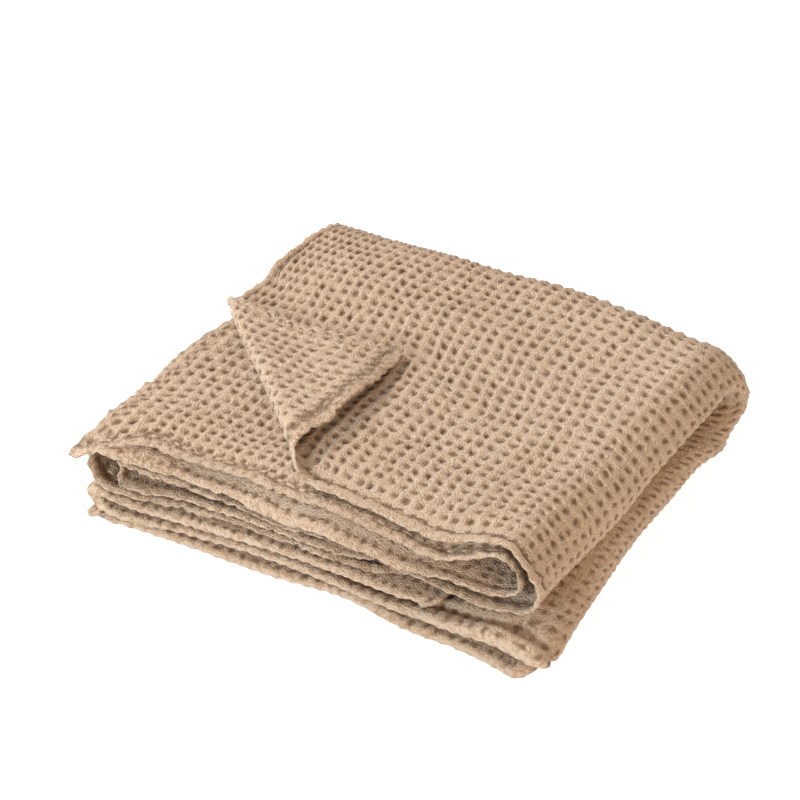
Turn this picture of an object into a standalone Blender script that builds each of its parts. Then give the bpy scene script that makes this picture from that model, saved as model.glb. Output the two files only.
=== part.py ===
"""Waffle weave cotton blanket, folded into a low stack with one corner turned back.

The blanket is one hemmed sheet. It is folded in half along its length, so that an
outer face lies over an inner one, then in three across its width, and the strip is
folded in half again at the back. The stack has twelve plies: six above the middle
and six below it. The cloth is laid out flat first, in waffle cells counted across
(the weft way) and along (the warp way), and fold_cloth carries each point of that
flat sheet to its place in the stack.

+X runs along the front of the stack, +Y to its back and +Z up. The middle of the
stack's outline is at x = y = 0, and it rests on z = 0.
"""

import math
from typing import NamedTuple

import bmesh
import bpy
import numpy as np

# The cloth, in metres and in waffle cells.
PITCH = 0.0113                      # one waffle cell
CLOTH_ACROSS = 106.0                # cells across, hem to hem: 1.20 m
CLOTH_ALONG = 132.6                 # cells along, hem to hem: 1.50 m
CLOTH_THICKNESS = 0.36              # thickness of one ply, in cells: 4 mm

# Folds across the width, as cells counted from the left selvedge of the top ply.
RIGHT_FOLD_START = 32.3
RIGHT_FOLD_LENGTH = 9.2
LEFT_FOLD_START = 72.4
LEFT_FOLD_LENGTH = 4.4
RIGHT_FOLD_END = RIGHT_FOLD_START + RIGHT_FOLD_LENGTH
LEFT_FOLD_END = LEFT_FOLD_START + LEFT_FOLD_LENGTH

# The way of one face along the length, in cells from its front hem.
TOP_LENGTH = 24.0                   # from the hem to the bend at the back
BEND_PER_HEIGHT = 2.63              # cells of bend at the back, per cell of height
FRONT_FOLD_HALF = 0.3               # half the cloth in the rounded fold at the lower front
FACE_LENGTH = CLOTH_ALONG / 2 - FRONT_FOLD_HALF
BACK_TUCK = 0.32                    # how far the bend's lower half is drawn in, per cell
FOLD_SAG = 0.35                     # how far the right fold hangs, in radians of its turn
ORIGIN_X = -6.448                   # middle of the outline, in the lattice's own cells
ORIGIN_Y = -9.389


class Face(NamedTuple):
    """The x places of one face's folds, in cells: the outer face or the inner one."""
    left_edge: float                # left selvedge of the top run
    right_turn: float               # where the right fold begins
    right_bulge: float              # how far the right fold reaches past that
    left_turn: float                # where the left fold begins
    left_bulge: float
    tucked_edge: float              # right selvedge of the bottom run, inside the stack
    back_bulge: float               # how far the bend reaches back, per cell of height


OUTER = Face(-25.6, 7.0, 3.6, -23.3, 0.95, 0.8, 0.80)
INNER = Face(-24.6, 7.0, 2.15, -23.9, 1.5, 2.2, 0.74)

# Height of each ply over the pinch between the two halves, in cells, at these places.
LEVEL_X = (-25.0, -13.0, 0.0, 4.0, 7.0)
OUTER_LEVELS = {
    "top run": (5.30, 5.45, 5.60, 5.75, 5.70),
    "middle run": (2.90, 1.85, 1.60, 0.95, 0.40),
    "bottom run": (0.95, 1.10, 0.90, 0.85, 0.85),
}
INNER_LEVELS = {
    "top run": (4.75, 4.75, 4.80, 4.75, 4.85),
    "middle run": (3.60, 3.75, 3.60, 2.40, 1.50),
    "bottom run": (0.40, 0.50, 0.40, 0.36, 0.36),
}
# The same plies below the pinch, as heights over the ply that lies on the floor.
OUTER_LOW_LEVELS = {
    "top run": (0.00, 0.00, 0.00, 0.00, 0.00),
    "middle run": (1.54, 1.60, 1.85, 2.60, 3.20),
    "bottom run": (2.30, 2.30, 2.50, 2.60, 2.60),
}
INNER_LOW_LEVELS = {
    "top run": (0.56, 0.58, 0.65, 0.70, 0.75),
    "middle run": (1.05, 1.10, 1.28, 1.75, 2.25),
    "bottom run": (2.74, 2.82, 3.05, 3.10, 3.10),
}
PINCH_HEIGHT = (3.05, 3.20, 3.50, 3.70, 3.80)
BACK_BEND_Y = (3.0, 3.5, 3.2, 2.2, 1.4)     # where the bend at the back begins


class Lean(NamedTuple):
    """How far the stack's two sides lean to the right at one place along the cloth."""
    along: float
    left: float
    right: float


LEANS = (
    Lean(0.0, 0.0, -0.5),
    Lean(12.0, 0.3, 1.2),
    Lean(18.0, 1.7, 2.2),
    Lean(24.0, 2.8, 2.8),
    Lean(28.0, 2.8, 2.9),
    Lean(33.0, 2.2, 1.1),
    Lean(39.0, 1.7, 1.5),
    Lean(50.0, 0.8, 1.3),
    Lean(66.0, 0.0, 1.2),
)
LEAN_SPAN = (-25.0, 11.0)           # x of those two sides

# At the back the right fold bends as an open loop.
LOOP_OPENING = 1.8
LOOP_FROM = 2.0
LOOP_WIDTH = 6.0
LOOP_REACH = 9.0
BACK_RISE = 0.9                     # how much higher the pinch is there
BACK_RISE_FROM = -14.0
BACK_RISE_LENGTH = 15.0


class EdgePlace(NamedTuple):
    """The front edges at one place across the cloth, in cells."""
    across: float
    outer_hem: float                # y of the outer face's hem
    inner_hem: float                # y of the inner face's hem
    lower_edge: float               # y of the fold that joins the faces at the lower front
    lower_round: float              # how far that fold stands out
    outer_droop: float              # how far each hem hangs below its ply
    inner_droop: float


EDGES = (
    EdgePlace(0.0, -23.2, -25.9, -26.4, 0.25, 0.1, 0.1),
    EdgePlace(3.0, -23.2, -24.5, -26.0, 0.3, 0.2, 0.2),
    EdgePlace(7.0, -23.1, -24.1, -25.4, 0.3, 0.3, 0.5),
    EdgePlace(15.0, -23.0, -23.6, -24.6, 0.3, 0.5, 0.6),
    EdgePlace(20.0, -23.4, -23.9, -24.4, 0.3, 0.7, 0.5),
    EdgePlace(25.0, -23.7, -24.4, -25.0, 0.3, 0.8, 0.7),
    EdgePlace(28.5, -23.4, -24.4, -25.2, 0.3, 0.7, 1.1),
    EdgePlace(32.0, -23.0, -23.6, -25.2, 0.3, 0.4, 0.3),
    EdgePlace(37.0, -23.5, -23.4, -23.9, 0.1, 0.0, 0.0),
    EdgePlace(42.0, -24.2, -24.0, -25.1, 0.2, 0.0, 0.0),
    EdgePlace(48.0, -24.6, -25.3, -24.8, 0.3, 0.1, 1.2),
    EdgePlace(58.0, -24.9, -25.2, -24.6, 0.3, 0.1, 1.5),
    EdgePlace(66.0, -25.0, -24.9, -25.4, 0.3, 0.1, 1.0),
    EdgePlace(72.5, -26.2, -26.4, -26.5, 0.2, 0.0, 0.2),
    EdgePlace(74.5, -25.6, -26.2, -26.1, 0.1, 0.0, 0.0),
    EdgePlace(77.0, -26.3, -26.5, -26.3, 0.2, 0.0, 0.0),
    EdgePlace(84.0, -25.5, -25.7, -25.7, 0.3, 0.0, 0.0),
    EdgePlace(92.0, -25.0, -25.1, -24.9, 0.3, 0.0, 0.0),
    EdgePlace(106.0, -24.9, -25.0, -24.6, 0.3, 0.0, 0.0),
)
DROOP_REACH = 2.0
TIP_REACH = 1.9                     # the inner face's corner pokes out to the left
TIP_OUT = (-2.0, -1.1, -1.9)

# The corner turned back over the top ply.
CORNER_ACROSS = 17.8                # cells of hem in the turned corner
CORNER_ALONG = 14.2                 # cells of selvedge in it
CORNER_TURN = (0.834, 0.551)        # plan direction in which the corner points
ROLL_AT_SELVEDGE = 0.32             # radius of the turn at its two ends
ROLL_AT_HEM = 0.85
CORNER_REST = 0.52                  # height of the lying corner over the ply below
HEM_LIFT = 0.75                     # how far the corner's hem stands up from it
HEM_LIFT_REACH = 3.5                # how far in from the hem that is felt
HEM_LIFT_AT = 4.0                   # how far from the turn it is highest
HEM_LIFT_WIDTH = 4.5
HEM_BOW = (1.6, -0.6)               # how far that hem bows out in plan
HEM_BOW_REACH = 5.5
HEM_BOW_LENGTH = 12.0
ROLL_REACH = 2.5                    # how far past its turn the corner comes to rest
ROLL_CUTS = 5                       # lines of vertices along the turn

# Lines of the sheet's grid: each stretch is its end and the number of steps to it.
STEPS_ACROSS = ((RIGHT_FOLD_START, 11), (RIGHT_FOLD_END, 8), (LEFT_FOLD_START, 9),
                (LEFT_FOLD_END, 6), (CLOTH_ACROSS, 8))
STEPS_ALONG_FACE = ((3.0, 2), (TOP_LENGTH - 1.0, 5), (TOP_LENGTH + 3.0, 6), (TOP_LENGTH + 5.4, 3),
                    (TOP_LENGTH + 15.0, 6), (60.0, 4), (FACE_LENGTH, 3))
FRONT_FOLD_STEPS = 4
CUT_MARGIN = 3.0                    # cells round the corner that its cuts may reach
SNAP_DISTANCE = 1e-4


class Swell(NamedTuple):
    """One low wave of the stack's top, in cells and radians."""
    height: float
    per_x: float
    per_y: float
    phase: float


SWELLS = (
    Swell(0.14, 0.31, 0.17, 0.8),
    Swell(0.10, -0.12, 0.43, 0.0),
    Swell(0.07, 0.71, -0.36, 2.1),
)
SWELL_DEPTH = 4.0                   # height over the pinch from which the swells are full

COTTON = (0.60, 0.46, 0.33)


def through(places, values, x):
    """Smooth curve through a table's points, level at its two ends."""
    places = np.asarray(places)
    values = np.asarray(values)
    slopes = np.gradient(values, places)
    slopes[0] = slopes[-1] = 0.0
    i = np.clip(np.searchsorted(places, x) - 1, 0, len(places) - 2)
    span = places[i + 1] - places[i]
    u = np.clip((x - places[i]) / span, 0.0, 1.0)
    rise = u * u * (3.0 - 2.0 * u)
    bow = u * (1.0 - u) * span
    return (values[i] + (values[i + 1] - values[i]) * rise
            + bow * (1.0 - u) * slopes[i] - bow * u * slopes[i + 1])


def smooth_step(u):
    """0 before the step, 1 after it, with a soft rise between."""
    u = np.clip(u, 0.0, 1.0)
    return u * u * (3.0 - 2.0 * u)


def across_stack(s, face, levels, low_levels):
    """x, height over the pinch and height over the floor ply, for places s across one face."""
    run_1 = face.left_edge + s / RIGHT_FOLD_START * (face.right_turn - face.left_edge)
    run_2 = face.right_turn + (s - RIGHT_FOLD_END) / (LEFT_FOLD_START - RIGHT_FOLD_END) * (
        face.left_turn - face.right_turn)
    run_3 = face.left_turn + (s - LEFT_FOLD_END) / (CLOTH_ACROSS - LEFT_FOLD_END) * (
        face.tucked_edge - face.left_turn)
    right_angle = math.pi * np.clip((s - RIGHT_FOLD_START) / RIGHT_FOLD_LENGTH, 0.0, 1.0)
    left_angle = math.pi * np.clip((s - LEFT_FOLD_START) / LEFT_FOLD_LENGTH, 0.0, 1.0)
    sagging_angle = right_angle - FOLD_SAG * np.sin(right_angle)
    right_fold = face.right_turn + face.right_bulge * np.sin(sagging_angle)
    left_fold = face.left_turn - face.left_bulge * np.sin(left_angle)
    zones = [s < RIGHT_FOLD_START, s < RIGHT_FOLD_END, s < LEFT_FOLD_START, s < LEFT_FOLD_END]
    x = np.select(zones, [run_1, right_fold, run_2, left_fold], run_3)
    heights = []
    for table in (levels, low_levels):
        top = through(LEVEL_X, table["top run"], run_1)
        middle = through(LEVEL_X, table["middle run"], run_2)
        bottom = through(LEVEL_X, table["bottom run"], run_3)
        right = between(table["top run"][-1], table["middle run"][-1], right_angle)
        turn = np.array([face.left_turn])
        left = between(through(LEVEL_X, table["middle run"], turn)[0],
                       through(LEVEL_X, table["bottom run"], turn)[0], left_angle)
        heights.append(np.select(zones, [top, right, middle, left], bottom))
    return x, heights[0], heights[1]


def between(start, end, angle):
    """Height on a round fold from one level to another, as its angle goes from 0 to pi."""
    return (start + end) / 2 + (start - end) / 2 * np.cos(angle)


def column(table, name, places_name, x):
    """Smooth curve through one named column of a table of rows."""
    return through([getattr(row, places_name) for row in table],
                   [getattr(row, name) for row in table], x)


def edge(name, s):
    """One column of the table of front edges, for places s across the cloth."""
    return column(EDGES, name, "across", s)


def lean(x, along):
    """How far a point at this x leans to the right."""
    part = np.clip((x - LEAN_SPAN[0]) / (LEAN_SPAN[1] - LEAN_SPAN[0]), 0.0, 1.0)
    left = column(LEANS, "left", "along", along)
    right = column(LEANS, "right", "along", along)
    return left * (1.0 - part) + right * part


def unevenness(x, y):
    """The low swells of the stack's top, in cells."""
    return sum(swell.height * np.sin(swell.per_x * x + swell.per_y * y + swell.phase)
               for swell in SWELLS)


def face_point(s, along, outer):
    """Point of one face, for s across the cloth and the way along it from the hem."""
    if outer:
        face = OUTER
        x, w, low = across_stack(s, face, OUTER_LEVELS, OUTER_LOW_LEVELS)
        hem_y = edge("outer_hem", s)
        droop = edge("outer_droop", s)
    else:
        face = INNER
        x, w, low = across_stack(s, face, INNER_LEVELS, INNER_LOW_LEVELS)
        hem_y = edge("inner_hem", s)
        droop = edge("inner_droop", s)
    bend_y = through(LEVEL_X, BACK_BEND_Y, x)
    edge_y = edge("lower_edge", s)

    rightward = smooth_step((x - LOOP_FROM) / LOOP_WIDTH)
    opening = LOOP_OPENING * rightward * (1.0 - w / OUTER_LEVELS["top run"][-1])
    bend_end = TOP_LENGTH + BEND_PER_HEIGHT * (w + opening)
    top_part = np.clip(along / TOP_LENGTH, 0.0, 1.0)
    turn = math.pi * np.clip((along - TOP_LENGTH) / (bend_end - TOP_LENGTH), 0.0, 1.0)
    low_part = np.clip((along - bend_end) / (FACE_LENGTH - bend_end), 0.0, 1.0)
    slack = (FACE_LENGTH - bend_end) / (bend_y - edge_y) - 1.0
    low_way = low_part - slack * low_part ** 2 * (1.0 - low_part)

    w = w + opening * np.exp(-((along - (TOP_LENGTH + bend_end) / 2) / LOOP_REACH) ** 2)
    y_top = hem_y + (bend_y - hem_y) * top_part
    y_low = bend_y + (edge_y - bend_y) * low_way
    y = np.where(along < TOP_LENGTH, y_top, y_low)
    pinch = through(LEVEL_X, PINCH_HEIGHT, x)
    pinch = pinch + BACK_RISE * rightward * smooth_step((y - BACK_RISE_FROM) / BACK_RISE_LENGTH)

    up = np.maximum(np.cos(turn), 0.0)
    down = np.maximum(-np.cos(turn), 0.0)
    y = y + (face.back_bulge - BACK_TUCK * down) * w * np.sin(turn)
    swell = unevenness(x, y) * np.clip(w / SWELL_DEPTH, 0.0, 1.0)
    low_height = low * pinch / through(LEVEL_X, PINCH_HEIGHT, x)
    z = pinch + (w + swell) * up - (pinch - CLOTH_THICKNESS / 2 - low_height) * down
    z = z - droop * np.exp(-(along / DROOP_REACH) ** 2)
    points = np.stack([x + lean(x, along), y, z], axis=-1)
    if not outer:
        tip = np.exp(-(along ** 2 + s ** 2) / TIP_REACH ** 2)
        points = points + np.array(TIP_OUT) * tip[:, None]
    return points


def corner_frame(s, along):
    """Way along the turned corner's fold line (0 to 1) and distance past it."""
    line = math.hypot(CORNER_ACROSS, CORNER_ALONG)
    way = (s * CORNER_ACROSS - (along - CORNER_ALONG) * CORNER_ALONG) / line ** 2
    past = (1.0 - s / CORNER_ACROSS - along / CORNER_ALONG) * CORNER_ACROSS * CORNER_ALONG / line
    return way, past


def turn_corner(s, along, points):
    """Points of the outer face with its front left corner turned back over it."""
    way, past = corner_frame(s, along)
    foot = face_point(np.clip(way, 0.0, 1.0) * CORNER_ACROSS,
                      (1.0 - np.clip(way, 0.0, 1.0)) * CORNER_ALONG, True)
    roll = ROLL_AT_SELVEDGE + (ROLL_AT_HEM - ROLL_AT_SELVEDGE) * np.clip(way, 0.0, 1.0)
    angle = np.clip(past / roll, 0.0, math.pi)
    back = np.where(past < math.pi * roll, -roll * np.sin(angle), past - math.pi * roll)
    hem_way = np.clip(back / HEM_BOW_LENGTH, 0.0, 1.0)
    bow = np.exp(-(along / HEM_BOW_REACH) ** 2) * np.sin(math.pi * hem_way)
    x = foot[:, 0] + CORNER_TURN[0] * back + HEM_BOW[0] * bow
    y = foot[:, 1] + CORNER_TURN[1] * back + HEM_BOW[1] * bow
    ground = top_height(x, y) - top_height(foot[:, 0], foot[:, 1])
    hem_lift = HEM_LIFT * np.exp(-(along / HEM_LIFT_REACH) ** 2)
    settled = CORNER_REST + hem_lift * np.exp(-((back - HEM_LIFT_AT) / HEM_LIFT_WIDTH) ** 2)
    flattened = np.exp(-(np.maximum(back, 0.0) / ROLL_REACH) ** 2)
    lying = settled + (2.0 * roll - settled) * flattened
    height = np.where(angle < math.pi, roll * (1.0 - np.cos(angle)), lying)
    turned = np.stack([x, y, foot[:, 2] + np.where(back > 0.0, ground, 0.0) + height], axis=-1)
    return np.where((past > 0.0)[:, None], turned, points)


def top_height(x, y):
    """Height of the top ply over a place in plan."""
    hem_y = EDGES[0].outer_hem
    along = (y - hem_y) * TOP_LENGTH / (BACK_BEND_Y[0] - hem_y)
    plain_x = x - lean(x, along)
    return (through(LEVEL_X, PINCH_HEIGHT, plain_x)
            + through(LEVEL_X, OUTER_LEVELS["top run"], plain_x) + unevenness(plain_x, y))


def fold_cloth(s, v):
    """Places in metres of the flat sheet's points, s cells across and v cells along it."""
    outer = face_point(s, np.minimum(v, FACE_LENGTH), True)
    outer = turn_corner(s, v, outer)
    inner = face_point(s, np.minimum(CLOTH_ALONG - v, FACE_LENGTH), False)
    angle = math.pi * np.clip((v - FACE_LENGTH) / (2.0 * FRONT_FOLD_HALF), 0.0, 1.0)
    middle = (outer + inner) / 2
    apart = (outer - inner) / 2
    joined = middle + apart * np.cos(angle)[:, None]
    joined[:, 1] -= edge("lower_round", s) * np.sin(angle)
    cells = np.where((v < FACE_LENGTH)[:, None], outer,
                     np.where((v > CLOTH_ALONG - FACE_LENGTH)[:, None], inner, joined))
    return (cells - np.array([ORIGIN_X, ORIGIN_Y, 0.0])) * PITCH


def steps(*stretches):
    """Places along the cloth, from stretches that give an end and the steps to it."""
    places = [0.0]
    for end, count in stretches:
        places += list(np.linspace(places[-1], end, count + 1)[1:])
    return places


def flat_sheet(across, along):
    """Flat sheet as a grid with the given lines, cut along the turned corner's roll."""
    mesh = bmesh.new()
    columns, rows = len(across) - 1, len(along) - 1
    bmesh.ops.create_grid(mesh, x_segments=columns, y_segments=rows, size=0.5)
    for vertex in mesh.verts:
        column = round((vertex.co.x + 0.5) * columns)
        row = round((vertex.co.y + 0.5) * rows)
        vertex.co = (across[column], along[row], 0.0)
    for part in np.linspace(0.0, 1.0, ROLL_CUTS):
        cut_roll(mesh, part)
    bmesh.ops.triangulate(mesh, faces=[face for face in mesh.faces if len(face.verts) > 4])
    return mesh


def cut_roll(mesh, part):
    """Cut the turned corner along the line at this part of its roll."""
    line = math.hypot(CORNER_ACROSS, CORNER_ALONG)
    past_selvedge = part * math.pi * ROLL_AT_SELVEDGE
    past_hem = part * math.pi * ROLL_AT_HEM
    start = (0.0, CORNER_ALONG - past_selvedge * line / CORNER_ACROSS)
    end = (CORNER_ACROSS - past_hem * line / CORNER_ALONG, 0.0)
    direction = (end[0] - start[0], end[1] - start[1])
    near = [face for face in mesh.faces
            if face.calc_center_median().x < CORNER_ACROSS + CUT_MARGIN
            and face.calc_center_median().y < CORNER_ALONG + CUT_MARGIN]
    edges = [edge for face in near for edge in face.edges]
    vertices = [vertex for face in near for vertex in face.verts]
    bmesh.ops.bisect_plane(mesh, geom=list(dict.fromkeys(near + edges + vertices)),
                           dist=SNAP_DISTANCE, plane_co=(*start, 0.0),
                           plane_no=(-direction[1], direction[0], 0.0))


def cotton_material():
    """Undyed cotton."""
    material = bpy.data.materials.new("undyed cotton")
    material.use_nodes = True
    shader = material.node_tree.nodes["Principled BSDF"]
    shader.inputs["Base Color"].default_value = (*COTTON, 1.0)
    shader.inputs["Roughness"].default_value = 0.95
    shader.inputs["Metallic"].default_value = 0.0
    material.diffuse_color = (*COTTON, 1.0)
    return material


def build_blanket(collection):
    """The folded blanket, one sheet with its thickness."""
    across = steps(*STEPS_ACROSS)
    face_steps = steps(*STEPS_ALONG_FACE)
    fold_steps = list(np.linspace(FACE_LENGTH, CLOTH_ALONG - FACE_LENGTH, FRONT_FOLD_STEPS + 1)[1:-1])
    along = face_steps + fold_steps + [CLOTH_ALONG - place for place in reversed(face_steps)]
    sheet = flat_sheet(across, along)
    s = np.array([vertex.co.x for vertex in sheet.verts])
    v = np.array([vertex.co.y for vertex in sheet.verts])
    for vertex, place in zip(sheet.verts, fold_cloth(s, v)):
        vertex.co = place
    mesh = bpy.data.meshes.new("blanket")
    sheet.to_mesh(mesh)
    sheet.free()
    mesh.shade_smooth()
    mesh.materials.append(cotton_material())
    blanket = bpy.data.objects.new("blanket", mesh)
    collection.objects.link(blanket)
    solidify = blanket.modifiers.new("cloth thickness", "SOLIDIFY")
    solidify.thickness = CLOTH_THICKNESS * PITCH
    solidify.offset = 0.0
    return blanket


def main():
    for item in list(bpy.data.objects):
        bpy.data.objects.remove(item, do_unlink=True)
    collection = bpy.data.collections.new("waffle weave blanket")
    bpy.context.scene.collection.children.link(collection)
    build_blanket(collection)


main()
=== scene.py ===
"""Folded waffle weave cotton blanket: the visible cloth with its hems, and the studio.

The cloth is made flat first, as a closed sheet measured in waffle cells: s across it, v along
it and h out of its middle. A node tree presses the waffle into that flat sheet, and StackForm
then carries every point of it to its place in the stack, by the same folds as the CAD solid.
The blanket is folded in half along its length, so that an outer face lies over an inner one,
then in three across its width, and the strip is folded in half again at the back.
"""

import logging
import math
from dataclasses import dataclass, field
from enum import Enum
from typing import NamedTuple, Optional, Sequence, Union

import bpy
import numpy as np
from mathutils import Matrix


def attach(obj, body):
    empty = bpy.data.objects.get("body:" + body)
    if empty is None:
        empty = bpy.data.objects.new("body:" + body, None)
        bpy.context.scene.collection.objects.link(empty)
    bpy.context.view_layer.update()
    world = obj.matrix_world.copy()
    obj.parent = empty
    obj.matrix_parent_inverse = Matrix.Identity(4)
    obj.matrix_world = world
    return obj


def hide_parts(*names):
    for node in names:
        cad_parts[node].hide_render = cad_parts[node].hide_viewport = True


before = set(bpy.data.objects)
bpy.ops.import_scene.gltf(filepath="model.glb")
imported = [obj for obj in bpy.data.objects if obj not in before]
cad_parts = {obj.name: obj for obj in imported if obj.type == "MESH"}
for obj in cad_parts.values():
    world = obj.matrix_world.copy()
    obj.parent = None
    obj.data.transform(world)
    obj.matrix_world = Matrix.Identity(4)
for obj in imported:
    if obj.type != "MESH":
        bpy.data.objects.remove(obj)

Array = np.ndarray
Colour = tuple[float, float, float]
Ramp = tuple[float, float, float, float]
log = logging.getLogger("blanket")


class Run(Enum):
    """The three runs of the cloth across the stack, from its top down."""
    TOP = 0
    MIDDLE = 1
    BOTTOM = 2


class Side(Enum):
    """The two sides of the cloth: the one outside the doubled cloth, and its reverse."""
    FACE = 1
    REVERSE = -1


@dataclass(frozen=True)
class FaceFolds:
    """The folds of one face of the doubled cloth, in cells.

    Heights are one for each of the stack's measured places, from left to right.
    """
    left_edge: float
    right_turn: float
    right_bulge: float
    left_turn: float
    left_bulge: float
    tucked_edge: float
    back_bulge: float
    heights: dict[Run, tuple[float, ...]]
    low_heights: dict[Run, tuple[float, ...]]


class Lean(NamedTuple):
    """How far the stack's two sides lean to the right at one place along the cloth."""
    along: float
    left: float
    right: float


class EdgePlace(NamedTuple):
    """The front edges at one place across the cloth, in cells."""
    across: float
    outer_hem: float
    inner_hem: float
    lower_edge: float
    lower_round: float
    outer_droop: float
    inner_droop: float


class Swell(NamedTuple):
    """One low wave of the stack's top, in cells and radians."""
    height: float
    per_x: float
    per_y: float
    phase: float


class RowSlip(NamedTuple):
    """How far a row of the weave lies from its even place along each face, in cells."""
    row: float
    outer: float
    inner: float


class Skew(NamedTuple):
    """How much of the weave's sideways slip a column takes, from 0 to 1."""
    column: float
    share: float


class Pull(NamedTuple):
    """A place where the cloth bulges out of its even folds: where, how wide and which way."""
    across: float
    along: float
    across_reach: float
    along_reach: float
    x: float
    y: float
    z: float


class Crease(NamedTuple):
    """A narrow crease from one place on the cloth to another: its reach and its push at both."""
    start: tuple[float, float]
    end: tuple[float, float]
    reach: float
    start_push: tuple[float, float, float]
    end_push: tuple[float, float, float]

    def push(self, s: Array, v: Array) -> Array:
        """How far the crease moves places on the cloth, in cells."""
        first = np.array(self.start)
        way = np.array(self.end) - first
        part = np.clip(((s - first[0]) * way[0] + (v - first[1]) * way[1]) / (way @ way), 0.0, 1.0)
        off = np.hypot(s - first[0] - part * way[0], v - first[1] - part * way[1])
        change = np.outer(1.0 - part, self.start_push) + np.outer(part, self.end_push)
        return change * np.exp(-(off / self.reach) ** 2)[:, None]


def through(places: Sequence[float], values: Sequence[float], x: Array) -> Array:
    """Smooth curve through a table's points, level at its two ends.

    Args:
        places: where the table's values stand, in rising order.
        values: the values there.
        x: where the curve is wanted.

    Returns:
        The curve's values at x.
    """
    known = np.asarray(places, float)
    heights = np.asarray(values, float)
    slopes = np.gradient(heights, known)
    slopes[0] = slopes[-1] = 0.0
    i = np.clip(np.searchsorted(known, x) - 1, 0, len(known) - 2)
    span = known[i + 1] - known[i]
    u = np.clip((x - known[i]) / span, 0.0, 1.0)
    bow = u * (1.0 - u) * span
    return (heights[i] + (heights[i + 1] - heights[i]) * smooth_step(u)
            + bow * (1.0 - u) * slopes[i] - bow * u * slopes[i + 1])


def smooth_step(u: Array) -> Array:
    """0 before the step, 1 after it, with a soft rise between."""
    u = np.clip(u, 0.0, 1.0)
    return u * u * (3.0 - 2.0 * u)


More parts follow.
